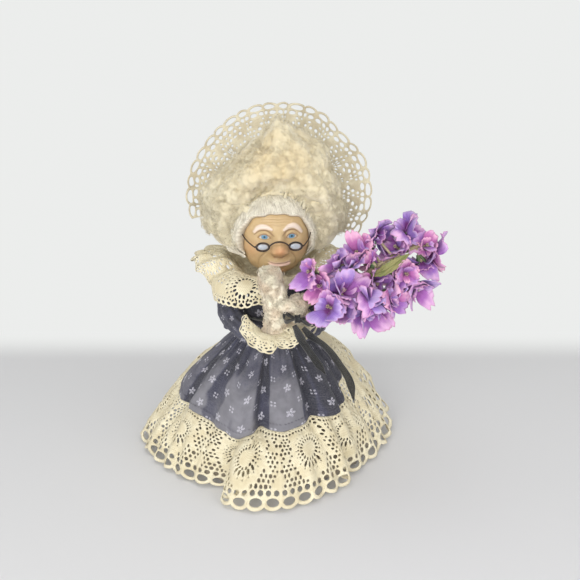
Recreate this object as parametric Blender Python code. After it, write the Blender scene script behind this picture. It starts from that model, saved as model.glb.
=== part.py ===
"""Apple head doll: a granny with wool hair, a lace bonnet and a bouquet.

Metres, +Z up. The doll faces -Y and the origin is the centre of its foot.
Run with: blender --background --python part.py
"""
import math

import bmesh
import bpy
from mathutils import Matrix, Vector

# Clearance between pieces that touch, and how far a cut runs past what it cuts
fit_gap = 0.0003
overrun = 0.01
crease_degrees = 50.0

# Foot and body cone
base_radius = 0.067
base_thickness = 0.002
felt_inset = 0.001
felt_thickness = 0.0015
cone_foot_inset = 0.003
cone_top_radius = 0.020
cone_height = 0.112
dowel_radius = 0.004
dowel_depth = 0.056
dowel_reach = 0.034
cone_sides = 48
dowel_sides = 16

# Bodice, washer and waistband
bodice_half_width = 0.020
bodice_half_depth = 0.018
bodice_height = 0.034
washer_radius = 0.0085
washer_thickness = 0.003
band_wall = 0.002
band_height = 0.005
band_drop = 0.0062
band_ease = 0.0006
bodice_sides = 32
washer_sides = 24
band_sides = 36

# Skirt: a gathered apron of cloth that opens at the back
skirt_top_radius = 0.0240
skirt_front_radius = 0.077
skirt_height_at_hem = 0.046
skirt_cloth = 0.001
skirt_dome_power = 0.45
skirt_row_power = 1.2
skirt_climb_power = 1.6
skirt_fold_onset_share = 0.7
skirt_rise = 0.062
skirt_turn_degrees = -15.0
skirt_level_degrees = 55.0
skirt_sweep_degrees = 60.0
skirt_columns = 60
skirt_rows = 5
skirt_side_shares = ((-180, 0.93), (-130, 0.98), (-80, 1.04), (-45, 1.02), (0, 1.0),
                     (40, 0.97), (70, 0.90), (110, 0.90), (150, 0.92), (180, 0.93))
# Each valley: bearing in degrees, half width in degrees, share of the fold depth
fold_depth = 0.0095
fold_shares = ((-8, 5.0, 1.0), (29, 8.0, 1.0), (-40, 6.0, 0.45), (-64, 6.0, 0.6),
               (-100, 7.0, 0.7), (-140, 8.0, 0.7), (64, 7.0, 0.6), (104, 8.0, 0.7),
               (146, 8.0, 0.7), (180, 7.0, 0.6))

# Hem lace: its free edge, as bearings with shares of the edge radius and of the lift
lace_thread = 0.0008
hem_edge_radius = 0.113
hem_edge_clearance = 0.0006
hem_edge_lift = 0.055
hem_seam_gap = 0.0013
hem_rows = 4
hem_bow_depth = 0.005
hem_ripple = 0.002
hem_ripple_count = 15
hem_edge_shares = ((-180, 0.78, 0.95), (-150, 0.83, 0.95), (-128, 0.93, 0.62),
                   (-112, 1.00, 0.22), (-98, 1.04, 0.02), (-88, 1.045, 0.0), (-72, 0.975, 0.0),
                   (-54, 0.905, 0.0), (-35, 0.855, 0.0), (-21, 0.81, 0.0), (-15, 1.012, 0.0),
                   (-5, 1.018, 0.0), (4, 1.005, 0.0), (12, 0.97, 0.0), (21, 0.935, 0.0),
                   (35, 0.895, 0.0), (41, 0.815, 0.0), (52, 0.815, 0.0), (62, 0.835, 0.0),
                   (80, 0.885, 0.0), (96, 0.965, 0.02), (108, 0.98, 0.18), (120, 0.92, 0.60),
                   (134, 0.86, 0.95), (155, 0.80, 1.0), (180, 0.78, 0.95))

# Stuffed petticoat under the skirt: heights and radii as shares
petticoat_foot_radius = 0.086
petticoat_top_drop = 0.0241
petticoat_lift = 0.002
petticoat_ease = 0.0006
petticoat_sides = 36
petticoat_profile_shares = ((0.0, 1.0), (0.10, 0.97), (0.28, 0.84), (0.43, 0.72),
                            (0.60, 0.64), (0.80, 0.50), (1.0, 0.35))

# Collar: one gathered lace frill, with crest and falling edge
collar_neck_radius = 0.0092
collar_seat_rise = 0.0018
collar_crest_radius = 0.043
collar_edge_radius = 0.064
collar_crest_rise = 0.0187
collar_thread = 0.0008
collar_columns = 48
collar_ripple = 0.0012
collar_ripple_count = 16
collar_stand_share = 0.3
collar_row_shares = (0.0, 0.17, 0.34, 0.5, 0.77, 1.0)
# Bearing, then shares of crest radius, crest rise, edge radius and edge rise
collar_shares = ((-180, 0.90, 0.70, 0.82, 0.20), (-140, 0.95, 0.85, 0.90, 0.30),
                 (-105, 1.00, 1.00, 0.98, 0.80), (-75, 1.00, 1.00, 1.02, 0.72),
                 (-62, 0.98, 0.90, 0.97, 0.30), (-54, 0.90, 0.45, 0.90, 0.02),
                 (-42, 1.00, 0.55, 1.00, -0.52), (-22, 1.05, 0.45, 1.02, -0.60),
                 (-8, 1.00, 0.40, 0.95, -0.50), (8, 0.85, 0.30, 0.72, -0.10),
                 (40, 0.85, 0.30, 0.72, -0.05), (75, 0.95, 0.55, 0.85, 0.20),
                 (100, 1.00, 1.00, 0.95, 0.75), (125, 1.00, 1.00, 0.97, 0.60),
                 (150, 0.95, 0.85, 0.90, 0.30), (180, 0.90, 0.70, 0.82, 0.20))

# Head
head_yaw_degrees = 7.0
head_half_width = 0.029
head_half_depth = 0.030
head_half_height = 0.0335
head_seat_rise = 0.034
head_offset_x = 0.0018
head_offset_y = -0.0052
neck_radius = 0.009
head_sides = 24
nose_drop = 0.005
nose_reach = 0.0085
nose_spread = 0.0052
chin_drop = 0.024
chin_reach = 0.004
chin_spread = 0.008
cheek_spread = 0.009
cheek_side = 0.017
cheek_drop = 0.010
cheek_reach = 0.0015
socket_clearance = 0.0003
crown_flat_share = 0.08
head_level_shares = (0.0, 0.06, 0.13, 0.20, 0.27, 0.34, 0.41, 0.47, 0.54, 0.62, 0.70, 0.78,
                     0.86, 0.93, 0.975, 0.998)

# Combed hair round the face, swept over the head
fringe_thickness = 0.0036
fringe_clearance = 0.0007
fringe_span_degrees = 116.0
fringe_columns = 22
fringe_rows = 3
# Bearing from the crown, then the inner and outer angle from the face's axis
fringe_angle_shares = ((0, 0.37, 0.74), (30, 0.42, 0.77), (60, 0.62, 0.84), (90, 0.68, 0.92),
                       (116, 0.70, 0.96))

# Wool hair in four glued tufts; rises and drops are from the head's centre
wool_centre_x = 0.001
wool_centre_y = -0.003
wool_rise = 0.025
wool_half_width = 0.060
wool_half_depth = 0.036
wool_half_height = 0.053
wool_back_y = 0.0230
wool_bottom_drop = 0.0148
wool_lump = 0.0022
wool_part_rise = 0.0285
wool_part_gap = 0.0004
wool_segments = 24
wool_rings = 14
wool_lump_waves = 5
wool_lump_bands = 6
hollow_sides = 24
hollow_steps = 8

# Bonnet: a gathered lace brim on a domed crown
bonnet_centre_x = 0.006
bonnet_rise = 0.024
bonnet_y = 0.027
bonnet_crown_radius = 0.030
bonnet_crown_depth = 0.027
bonnet_crown_wall = 0.001
bonnet_edge_radius = 0.080
bonnet_lean_share = 0.62
bonnet_side_lean_share = 0.06
bonnet_seam_gap = 0.0009
bonnet_thread = 0.0008
bonnet_ripple = 0.0036
bonnet_ripple_count = 22
bonnet_columns = 66
bonnet_rows = 2
crown_sides = 28
crown_rows = 5
crown_tip_share = 0.03
bonnet_left_degrees = -104.0
bonnet_right_degrees = 118.0
bonnet_edge_shares = ((-104, 0.99), (-80, 1.0), (-50, 0.97), (-20, 0.97), (0, 0.965),
                      (25, 0.98), (45, 0.94), (70, 1.0), (95, 0.99), (118, 0.94))

# Spectacles, in the head's own directions
rim_half_width = 0.0049
rim_half_height = 0.0031
rim_wire = 0.00065
rim_spacing = 0.0126
rim_segments = 20
rim_wire_sides = 6
rim_reach = 0.0408
rim_drop = 0.0038
bridge_rise = 0.0036
bridge_wire = 0.0006
bridge_steps = 8
temple_wire = 0.0005
temple_end_half = 0.0270
temple_end_reach = 0.0215
temple_end_rise = 0.0025
lens_thickness = 0.0006

# Arms, as routes from between the shoulders
shoulder_rise = 0.0246
arm_reach = 0.070
sleeve_radius = 0.010
sleeve_fold = 0.05
sleeve_fold_count = 7
sleeve_sides = 18
arm_wire_radius = 0.0015
arm_wire_sides = 8
# Along each sleeve: shares of the arm's reach in x, y and z, and of the sleeve's radius
sleeve_right_shares = ((-0.294, 0.000, 0.000, 0.85), (-0.371, 0.000, 0.007, 0.95),
                       (-0.446, -0.014, -0.054, 1.03), (-0.489, -0.057, -0.164, 1.06),
                       (-0.493, -0.157, -0.286, 0.98), (-0.407, -0.357, -0.340, 0.90),
                       (-0.271, -0.571, -0.364, 0.84), (-0.136, -0.729, -0.357, 0.76),
                       (-0.050, -0.821, -0.329, 0.62))
sleeve_left_shares = ((0.294, 0.000, 0.000, 0.85), (0.371, 0.000, 0.007, 0.95),
                      (0.460, -0.014, -0.057, 1.08), (0.517, -0.057, -0.164, 1.10),
                      (0.543, -0.157, -0.279, 1.00), (0.514, -0.357, -0.329, 0.92),
                      (0.450, -0.543, -0.343, 0.86), (0.374, -0.686, -0.329, 0.74),
                      (0.340, -0.764, -0.307, 0.56))

# The grip, where both hands hold the stems, in shares of the arm's reach
grip_shares = (0.293, -0.964, 0.043)

# Mittens, as routes from the grip: shares of the hand's reach, and of the mitten's radius
hand_reach = 0.060
mitten_radius = 0.010
mitten_sides = 12
mitten_right_shares = ((-0.372, 0.130, -0.420, 0.52), (-0.325, 0.083, -0.375, 0.70),
                       (-0.267, 0.025, -0.233, 0.88), (-0.267, 0.008, 0.017, 0.90),
                       (-0.300, 0.017, 0.233, 0.92), (-0.342, 0.033, 0.417, 0.82),
                       (-0.350, 0.042, 0.508, 0.48))
mitten_left_shares = ((0.028, 0.162, -0.353, 0.50), (0.022, 0.108, -0.283, 0.62),
                      (0.015, 0.025, -0.117, 0.68), (0.005, -0.025, 0.067, 0.66),
                      (0.000, -0.042, 0.158, 0.36))

# Lace cuffs: fans of lace round each wrist, from one bearing to another
cuff_columns = 16
cuff_rows = 3
cuff_ripple = 0.0012
cuff_ripple_count = 4
cuff_clearance = 0.0012
cuff_right_stop_share = 0.40
cuff_right_from_degrees = -112.0
cuff_right_to_degrees = 8.0
cuff_right_from_reach = 0.0255
cuff_right_to_reach = 0.0160
cuff_right_from_fall = -0.0010
cuff_right_to_fall = 0.0185
cuff_left_stop_share = 0.40
cuff_left_from_degrees = -42.0
cuff_left_to_degrees = 40.0
cuff_left_from_reach = 0.0140
cuff_left_to_reach = 0.0140
cuff_left_from_fall = 0.0100
cuff_left_to_fall = 0.0080

# Bouquet stems, as routes from the grip in shares of the spray's reach
spray_reach = 0.120
stem_radius = 0.0017
side_stem_radius = 0.0013
stem_sides = 8
stem_shares = ((-0.1792, 0.0083, -0.0250), (0.0, 0.0, 0.0), (0.1625, 0.0042, 0.0667),
               (0.3458, 0.0292, 0.1667), (0.5375, 0.0792, 0.2750), (0.7625, 0.1458, 0.3667))
side_stem_shares = ((0.0, -0.0042, -0.0583), (0.1042, -0.0208, -0.0458),
                    (0.2458, -0.0375, -0.0083), (0.3792, -0.0375, 0.0333))

# Florets: centre as shares of the spray's reach from the grip, size share, stem it grows on
floret_radius = 0.0135
floret_throat_share = 0.16
floret_depth_share = 0.55
floret_cup_share = 0.30
floret_waist_share = 0.18
floret_waist_width_share = 0.45
floret_inner_width_share = 0.42
floret_least_width_share = 0.19
floret_tube = 0.0011
petal_thickness = 0.0009
petal_count = 5
petal_steps = 3
petal_notch_share = 0.62
floret_shares = (
    ("floret_01", 0.365, 0.060, 0.385, 0.85, "main"),
    ("floret_02", 0.520, 0.150, 0.470, 0.85, "main"),
    ("floret_03", 0.690, 0.160, 0.480, 1.10, "main"),
    ("floret_04", 0.900, 0.190, 0.330, 1.10, "main"),
    ("floret_05", 0.270, -0.135, 0.150, 1.00, "main"),
    ("floret_06", 0.450, -0.125, 0.100, 0.80, "main"),
    ("floret_07", 0.580, -0.060, 0.080, 0.85, "main"),
    ("floret_08", 0.750, 0.050, 0.110, 0.85, "main"),
    ("floret_09", 0.430, -0.085, -0.060, 0.95, "side"),
    ("floret_10", 0.040, -0.040, 0.235, 1.05, "main"),
    ("floret_11", 0.165, -0.190, 0.015, 1.10, "side"),
    ("floret_12", 0.235, 0.030, 0.270, 0.80, "main"),
    ("floret_13", 0.655, -0.045, 0.230, 0.70, "main"),
    ("floret_14", 0.300, 0.060, 0.020, 0.75, "side"),
)

# Leaf
leaf_thickness = 0.0008
leaf_half_width = 0.0045
leaf_dip_share = 0.2
leaf_route_shares = ((0.4317, 0.0325, 0.2050), (0.4667, -0.0417, 0.2292),
                     (0.5208, -0.0958, 0.2683), (0.5917, -0.0958, 0.3183),
                     (0.6625, -0.0542, 0.3567))
leaf_width_shares = (0.25, 0.55, 1.0, 0.85, 0.20)

# Ribbon tied round the stems
ribbon_width = 0.0066
ribbon_thickness = 0.0006
bow_forward = 0.0085
bow_drop = 0.0055
bow_half_width = 0.0100
bow_half_height = 0.0048
bow_sides = 12
# Along the bow: share of the half width, then half depth and half height as shares
bow_shares = ((-1.0, 0.17, 0.46), (-0.78, 0.42, 1.0), (-0.48, 0.42, 0.83), (-0.24, 0.27, 0.42),
              (-0.16, 0.50, 0.63), (0.16, 0.50, 0.63), (0.24, 0.27, 0.42), (0.48, 0.42, 0.83),
              (0.78, 0.42, 1.0), (1.0, 0.17, 0.46))
# The tails, as routes from the knot in shares of their reach
tail_reach = 0.080
tail_long_shares = ((0.050, -0.015, -0.081), (0.124, -0.044, -0.154), (0.226, -0.038, -0.233),
                    (0.314, 0.000, -0.338), (0.395, 0.044, -0.470), (0.499, 0.087, -0.658),
                    (0.559, 0.137, -0.919))
tail_short_shares = ((-0.031, -0.015, -0.059), (0.044, -0.065, -0.194),
                     (0.144, -0.031, -0.363), (0.269, -0.019, -0.549))
tail_lean_share = 0.35


def clear_scene():
    """Remove every object that the scene starts with."""
    for item in list(bpy.data.objects):
        bpy.data.objects.remove(item)


def finish(name, colour, roughness, metallic=0.0, transmission=0.0):
    """Make a Principled material from a linear colour."""
    material = bpy.data.materials.new(name)
    material.use_nodes = True
    shader = material.node_tree.nodes["Principled BSDF"]
    shader.inputs["Base Color"].default_value = (*colour, 1.0)
    shader.inputs["Roughness"].default_value = roughness
    shader.inputs["Metallic"].default_value = metallic
    shader.inputs["Transmission Weight"].default_value = transmission
    return material


def make_finishes():
    """Make the doll's materials, by name."""
    return {
        "felt": finish("felt", (0.05, 0.05, 0.05), 0.95),
        "card": finish("card", (0.42, 0.33, 0.22), 0.85),
        "foam": finish("foam", (0.80, 0.80, 0.78), 0.85),
        "wood": finish("wood", (0.50, 0.33, 0.18), 0.6),
        "lining": finish("lining", (0.03, 0.03, 0.05), 0.9),
        "navy": finish("navy", (0.04, 0.045, 0.09), 0.85),
        "lace": finish("lace", (0.80, 0.73, 0.55), 0.9),
        "bonnet_lace": finish("bonnet_lace", (0.62, 0.57, 0.44), 0.9),
        "skin": finish("skin", (0.66, 0.36, 0.15), 0.42),
        "white_hair": finish("white_hair", (0.82, 0.79, 0.74), 0.7),
        "wool": finish("wool", (0.74, 0.65, 0.48), 0.95),
        "boucle": finish("boucle", (0.74, 0.65, 0.50), 0.95),
        "wire": finish("wire", (0.35, 0.34, 0.32), 0.35, metallic=1.0),
        "rim": finish("rim", (0.03, 0.02, 0.015), 0.35),
        "glass": finish("glass", (0.7, 0.75, 0.8), 0.1, transmission=0.8),
        "stem": finish("stem", (0.30, 0.34, 0.12), 0.6),
        "leaf": finish("leaf", (0.20, 0.25, 0.08), 0.6),
        "violet": finish("violet", (0.38, 0.14, 0.56), 0.7),
        "pink": finish("pink", (0.68, 0.26, 0.58), 0.7),
        "ribbon": finish("ribbon", (0.02, 0.02, 0.025), 0.4),
    }


def smooth_share(value):
    """Ease a value between 0 and 1 with a flat start and end."""
    value = min(max(value, 0.0), 1.0)
    return value * value * (3.0 - 2.0 * value)


def read_table(table, bearing):
    """Read the columns of a table of bearings at one bearing, eased between rows."""
    for low, high in zip(table, table[1:]):
        if bearing <= high[0]:
            share = smooth_share((bearing - low[0]) / (high[0] - low[0]))
            return [a + (b - a) * share for a, b in zip(low[1:], high[1:])]
    return list(table[-1][1:])


def place(radius, bearing, height):
    """Give the point at a radius, a bearing in degrees from the front, and a height."""
    angle = math.radians(bearing)
    return Vector((radius * math.sin(angle), -radius * math.cos(angle), height))


def bearings(count):
    """Give evenly spaced bearings once round the doll."""
    return [-180.0 + 360.0 * step / count for step in range(count)]


def add_object(name, mesh, material, parent=None, smooth=True):
    """Put a mesh in the scene, keeping its world place under a parent."""
    mesh.materials.append(material)
    if smooth:
        mesh.shade_smooth()
        mesh.set_sharp_from_angle(angle=math.radians(crease_degrees))
    item = bpy.data.objects.new(name, mesh)
    bpy.context.scene.collection.objects.link(item)
    if parent is not None:
        item.parent = parent
        item.matrix_parent_inverse = parent.matrix_world.inverted()
    return item


def mesh_from(bm, name):
    """Turn a bmesh into a mesh with its faces pointing out."""
    bmesh.ops.recalc_face_normals(bm, faces=bm.faces[:])
    mesh = bpy.data.meshes.new(name)
    bm.to_mesh(mesh)
    bm.free()
    return mesh


def loft_mesh(name, rings):
    """Join closed rings of points into one capped body."""
    bm = bmesh.new()
    loops = [[bm.verts.new(point) for point in ring] for ring in rings]
    count = len(rings[0])
    for low, high in zip(loops, loops[1:]):
        for step in range(count):
            after = (step + 1) % count
            bm.faces.new((low[step], low[after], high[after], high[step]))
    bm.faces.new(loops[0][::-1])
    bm.faces.new(loops[-1])
    return mesh_from(bm, name)


def sheet(name, rows, thickness, material, parent=None, closed=False):
    """Make a sheet of cloth from a grid of points, with its thickness on the inner side."""
    bm = bmesh.new()
    grid = [[bm.verts.new(point) for point in row] for row in rows]
    count = len(rows[0])
    steps = count if closed else count - 1
    for low, high in zip(grid, grid[1:]):
        for step in range(steps):
            after = (step + 1) % count
            bm.faces.new((low[step], high[step], high[after], low[after]))
    mesh = bpy.data.meshes.new(name)
    bm.to_mesh(mesh)
    bm.free()
    item = add_object(name, mesh, material, parent)
    solid = item.modifiers.new("Thickness", "SOLIDIFY")
    solid.thickness = thickness
    solid.offset = -1.0
    return item


def frames_along(points):
    """Give a direction and two square side vectors at each point of a route."""
    frames = []
    side = None
    for index, point in enumerate(points):
        before = points[max(index - 1, 0)]
        after = points[min(index + 1, len(points) - 1)]
        along = (after - before).normalized()
        if side is None:
            helper = Vector((0.0, 0.0, 1.0)) if abs(along.z) < 0.9 else Vector((0.0, 1.0, 0.0))
            side = along.cross(helper).normalized()
        side = (side - along * side.dot(along)).normalized()
        frames.append((along, side, along.cross(side)))
    return frames


def tube_rings(points, radii, sides, fold=0.0, fold_count=0):
    """Give the rings of a round tube along a route, with pleats if a fold is given."""
    rings = []
    for point, radius, (along, side, rise) in zip(points, radii, frames_along(points)):
        ring = []
        for step in range(sides):
            angle = 2.0 * math.pi * step / sides
            reach = radius * (1.0 + fold * math.cos(fold_count * angle))
            ring.append(point + side * reach * math.cos(angle) + rise * reach * math.sin(angle))
        rings.append(ring)
    return rings


def tube(name, points, radii, sides, material, parent=None):
    """Make a solid round tube along a route."""
    mesh = loft_mesh(name, tube_rings(points, radii, sides))
    return add_object(name, mesh, material, parent)


def cylinder_mesh(name, radius_low, radius_high, low, high, sides, stretch=1.0):
    """Make an upright cylinder or cone between two heights; stretch scales its depth."""
    rings = []
    for radius, height in ((radius_low, low), (radius_high, high)):
        turns = [2.0 * math.pi * step / sides for step in range(sides)]
        rings.append([Vector((radius * math.cos(turn), radius * stretch * math.sin(turn), height))
                      for turn in turns])
    return loft_mesh(name, rings)


def cutter(name, mesh):
    """Put a cutter in the scene, hidden from the model."""
    item = bpy.data.objects.new(name, mesh)
    bpy.context.scene.collection.objects.link(item)
    item.display_type = "WIRE"
    item.hide_render = True
    return item


def cut(item, tool, operation="DIFFERENCE"):
    """Cut an object with a cutter."""
    change = item.modifiers.new(tool.name, "BOOLEAN")
    change.operation = operation
    change.object = tool
    change.solver = "EXACT"


def box_mesh(name, low, high):
    """Make a box between two corners."""
    bm = bmesh.new()
    bmesh.ops.create_cube(bm, size=1.0)
    size = Vector(high) - Vector(low)
    centre = (Vector(high) + Vector(low)) / 2.0
    bmesh.ops.scale(bm, vec=size, verts=bm.verts[:])
    bmesh.ops.translate(bm, vec=centre, verts=bm.verts[:])
    return mesh_from(bm, name)


# Sizes that follow from the stack of the body, and from the head on it
foot_radius = base_radius - felt_inset
cone_foot_radius = base_radius - cone_foot_inset
base_bottom = felt_thickness + fit_gap
cone_bottom = base_bottom + base_thickness + fit_gap
cone_top = cone_bottom + cone_height
petticoat_height = cone_top - petticoat_top_drop
bodice_bottom = cone_top + fit_gap
bodice_top = bodice_bottom + bodice_height
washer_bottom = bodice_top + fit_gap
washer_top = washer_bottom + washer_thickness
neck_bottom = washer_top + fit_gap
dowel_bottom = cone_top - dowel_depth
dowel_top = neck_bottom + dowel_reach
band_bottom = cone_top - band_drop
skirt_top = band_bottom - fit_gap
shoulder_height = bodice_bottom + shoulder_rise
collar_neck_height = washer_bottom + collar_seat_rise
head_centre_height = neck_bottom + head_seat_rise
wool_centre_height = head_centre_height + wool_rise
wool_bottom_height = head_centre_height - wool_bottom_drop
wool_part_height = head_centre_height + wool_part_rise
bonnet_centre_height = head_centre_height + bonnet_rise
rim_height = head_centre_height - rim_drop
temple_end_height = head_centre_height + temple_end_rise


def cone_radius_at(height):
    """Give the body cone's radius at a height."""
    share = (height - cone_bottom) / cone_height
    return cone_foot_radius + (cone_top_radius - cone_foot_radius) * share


def skirt_seam_height(bearing):
    """Give the height of the skirt's hem, which climbs to the opening at the back."""
    turned = (bearing - skirt_turn_degrees + 180.0) % 360.0 - 180.0
    past = max(0.0, abs(turned) - skirt_level_degrees) / skirt_sweep_degrees
    climb = skirt_rise * (1.0 - math.exp(-past ** skirt_climb_power))
    return min(skirt_height_at_hem + climb, skirt_top - fold_depth)


def skirt_radius(bearing, height):
    """Give the skirt's outer radius: a dome with valleys that deepen to the hem."""
    wide = skirt_front_radius * read_table(skirt_side_shares, bearing)[0]
    drop = (skirt_top - height) / (skirt_top - skirt_height_at_hem)
    drop = min(max(drop, 0.0), 1.0)
    sweep = math.acos(1.0 - drop ** (1.0 / skirt_dome_power))
    radius = skirt_top_radius + (wide - skirt_top_radius) * math.sin(sweep)
    valley = 0.0
    for centre, width, share in fold_shares:
        away = (bearing - centre + 180.0) % 360.0 - 180.0
        valley += share * math.exp(-(away / width) ** 2)
    return radius - fold_depth * valley * smooth_share(drop / skirt_fold_onset_share)


def make_body(finishes):
    """Make the weighted foot, the foam cone, the dowel and the bodice."""
    felt = cylinder_mesh("foot_felt", foot_radius, foot_radius, 0.0, felt_thickness,
                         cone_sides)
    add_object("foot_felt", felt, finishes["felt"])
    card = cylinder_mesh("base_disc", base_radius, base_radius, base_bottom,
                         base_bottom + base_thickness, cone_sides)
    add_object("base_disc", card, finishes["card"])

    bore = cutter("dowel_bore", cylinder_mesh("dowel_bore", dowel_radius + fit_gap,
                                              dowel_radius + fit_gap, dowel_bottom - fit_gap,
                                              washer_top + overrun, dowel_sides))
    foam = cylinder_mesh("body_cone", cone_foot_radius, cone_top_radius, cone_bottom, cone_top,
                         cone_sides)
    cut(add_object("body_cone", foam, finishes["foam"]), bore)
    torso = cylinder_mesh("bodice", bodice_half_width, bodice_half_width, bodice_bottom,
                          bodice_top, bodice_sides, bodice_half_depth / bodice_half_width)
    cut(add_object("bodice", torso, finishes["navy"]), bore)
    ring = cylinder_mesh("neck_washer", washer_radius, washer_radius, washer_bottom, washer_top,
                         washer_sides)
    cut(add_object("neck_washer", ring, finishes["wood"]), bore)
    peg = cylinder_mesh("neck_dowel", dowel_radius, dowel_radius, dowel_bottom, dowel_top,
                        dowel_sides)
    add_object("neck_dowel", peg, finishes["wood"])

    inner = cone_radius_at(band_bottom) + band_ease
    outer = inner + band_wall
    band = cylinder_mesh("waistband", outer, outer, band_bottom, band_bottom + band_height,
                         band_sides)
    hole = cutter("waistband_hole", cylinder_mesh("waistband_hole", inner, inner,
                                                  band_bottom - overrun,
                                                  band_bottom + band_height + overrun,
                                                  band_sides))
    cut(add_object("waistband", band, finishes["navy"]), hole)


def make_petticoat(finishes):
    """Make the stuffed petticoat that fills the skirt round the cone."""
    rings = []
    for height_share, radius_share in petticoat_profile_shares:
        height = petticoat_lift + (petticoat_height - petticoat_lift) * height_share
        rings.append([place(petticoat_foot_radius * radius_share, bearing, height)
                      for bearing in bearings(petticoat_sides)])
    item = add_object("petticoat", loft_mesh("petticoat", rings), finishes["lining"])
    low = petticoat_lift - overrun
    high = petticoat_height + overrun
    wide = base_radius + petticoat_ease
    core = cylinder_mesh("petticoat_core", wide, wide, low, cone_bottom, cone_sides)
    cut(item, cutter("petticoat_core", core))
    start = cone_bottom - overrun
    taper = cylinder_mesh("petticoat_taper", cone_radius_at(start) + petticoat_ease,
                          cone_radius_at(high) + petticoat_ease, start, high, cone_sides)
    cut(item, cutter("petticoat_taper", taper))


def make_skirt(finishes):
    """Make the navy skirt, a folded sheet that ends at its climbing hem."""
    rows = []
    for row in range(skirt_rows + 1):
        share = row / skirt_rows
        points = []
        for bearing in bearings(skirt_columns):
            hem = skirt_seam_height(bearing)
            height = skirt_top + (hem - skirt_top) * share ** skirt_row_power
            points.append(place(skirt_radius(bearing, height), bearing, height))
        rows.append(points)
    sheet("skirt", rows, skirt_cloth, finishes["navy"], closed=True)


def hem_edge(bearing):
    """Give the free edge of the hem lace at a bearing."""
    radius_share, lift_share = read_table(hem_edge_shares, bearing)
    radius = hem_edge_radius * radius_share
    radius += hem_ripple * math.cos(math.radians(bearing) * hem_ripple_count)
    return radius, hem_edge_clearance + lace_thread + hem_edge_lift * lift_share


def make_hem_lace(finishes):
    """Make the lace flounce from the skirt's seam down to its free edge."""
    rows = []
    for row in range(hem_rows + 1):
        share = row / hem_rows
        points = []
        for bearing in bearings(skirt_columns):
            hem = skirt_seam_height(bearing)
            seam_height = hem - hem_seam_gap
            seam_radius = skirt_radius(bearing, hem) - skirt_cloth / 2.0
            edge_radius, edge_height = hem_edge(bearing)
            bow = hem_bow_depth * math.sin(math.pi * share)
            radius = seam_radius + (edge_radius - seam_radius) * share
            height = seam_height + (edge_height - seam_height) * share + bow
            points.append(place(radius, bearing, height))
        rows.append(points)
    sheet("hem_lace", rows, lace_thread, finishes["lace"], closed=True)


def collar_point(bearing, share):
    """Give a point of the collar frill, from the neck (0) over its crest to its edge (1)."""
    crest_radius, crest_rise, edge_radius, edge_rise = read_table(collar_shares, bearing)
    ripple = collar_ripple * math.cos(math.radians(bearing) * collar_ripple_count)
    neck = (collar_neck_radius, 0.0)
    crest = (collar_crest_radius * crest_radius, collar_crest_rise * crest_rise)
    edge = (collar_edge_radius * edge_radius + ripple, collar_crest_rise * edge_rise)
    if share < 0.5:
        part = smooth_share((share * 2.0 - collar_stand_share) / (1.0 - collar_stand_share))
        radius = neck[0] + (crest[0] - neck[0]) * share * 2.0
        height = neck[1] + (crest[1] - neck[1]) * part
    else:
        part = share * 2.0 - 1.0
        radius = crest[0] + (edge[0] - crest[0]) * math.sin(part * math.pi / 2.0)
        height = crest[1] + (edge[1] - crest[1]) * part * part
    return place(radius, bearing, collar_neck_height + height)


def make_collar(finishes):
    """Make the collar's lace frill."""
    rows = [[collar_point(bearing, share) for bearing in bearings(collar_columns)]
            for share in collar_row_shares]
    sheet("collar_lace", rows, collar_thread, finishes["lace"], closed=True)


def head_bump(direction_x, height, side, level, spread):
    """Give a soft bump's share at a place on the face."""
    across = (direction_x - side) / spread
    up = (height - level) / spread
    return math.exp(-across * across - up * up)


def head_point(angle, height):
    """Give a point of the head's surface before it is turned; angle 0 is the front."""
    up = (height - head_centre_height) / head_half_height
    level = math.sqrt(max(0.0, 1.0 - up * up))
    wide = max(head_half_width * level, neck_radius)
    deep = max(head_half_depth * level, neck_radius)
    x = wide * math.sin(angle)
    y = -deep * math.cos(angle)
    if math.cos(angle) > 0.0:
        nose = head_bump(x, height, 0.0, head_centre_height - nose_drop, nose_spread)
        chin = head_bump(x, height, 0.0, head_centre_height - chin_drop, chin_spread)
        y -= nose_reach * nose + chin_reach * chin
        for side in (-cheek_side, cheek_side):
            cheek = head_bump(x, height, side, head_centre_height - cheek_drop, cheek_spread)
            y -= cheek_reach * cheek
    return Vector((x + head_offset_x, y + head_offset_y, height))


def turn_head(point):
    """Turn a point with the head about the neck."""
    return Matrix.Rotation(math.radians(head_yaw_degrees), 3, "Z") @ point


def make_head(finishes, pivot):
    """Make the moulded head with its dowel socket."""
    top = head_centre_height + head_half_height
    rings = []
    for level in head_level_shares:
        height = neck_bottom + (top - neck_bottom) * level
        turns = [2.0 * math.pi * step / head_sides for step in range(head_sides)]
        ring = [head_point(turn, height) for turn in turns]
        if level == head_level_shares[-1]:
            crown = Vector((head_offset_x, head_offset_y, height))
            flat = head_half_width * crown_flat_share
            ring = [crown + Vector((flat * math.sin(turn), -flat * math.cos(turn), 0.0))
                    for turn in turns]
        rings.append([turn_head(point) for point in ring])
    item = add_object("moulded_head", loft_mesh("moulded_head", rings), finishes["skin"], pivot)
    radius = dowel_radius + socket_clearance
    socket = cylinder_mesh("head_socket", radius, radius, neck_bottom - overrun,
                           dowel_top + socket_clearance, dowel_sides)
    cut(item, cutter("head_socket", socket))


def fringe_point(bearing, share, outside):
    """Give a point of the combed hair; bearing runs round the face from the crown."""
    inner, outer = read_table(fringe_angle_shares, abs(bearing))
    angle = (inner + (outer - inner) * share) * math.pi / 2.0
    turn = math.radians(bearing)
    grow = fringe_clearance + outside
    return turn_head(Vector((
        head_offset_x + (head_half_width + grow) * math.sin(angle) * math.sin(turn),
        head_offset_y - (head_half_depth + grow) * math.cos(angle),
        head_centre_height + (head_half_height + grow) * math.sin(angle) * math.cos(turn))))


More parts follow.
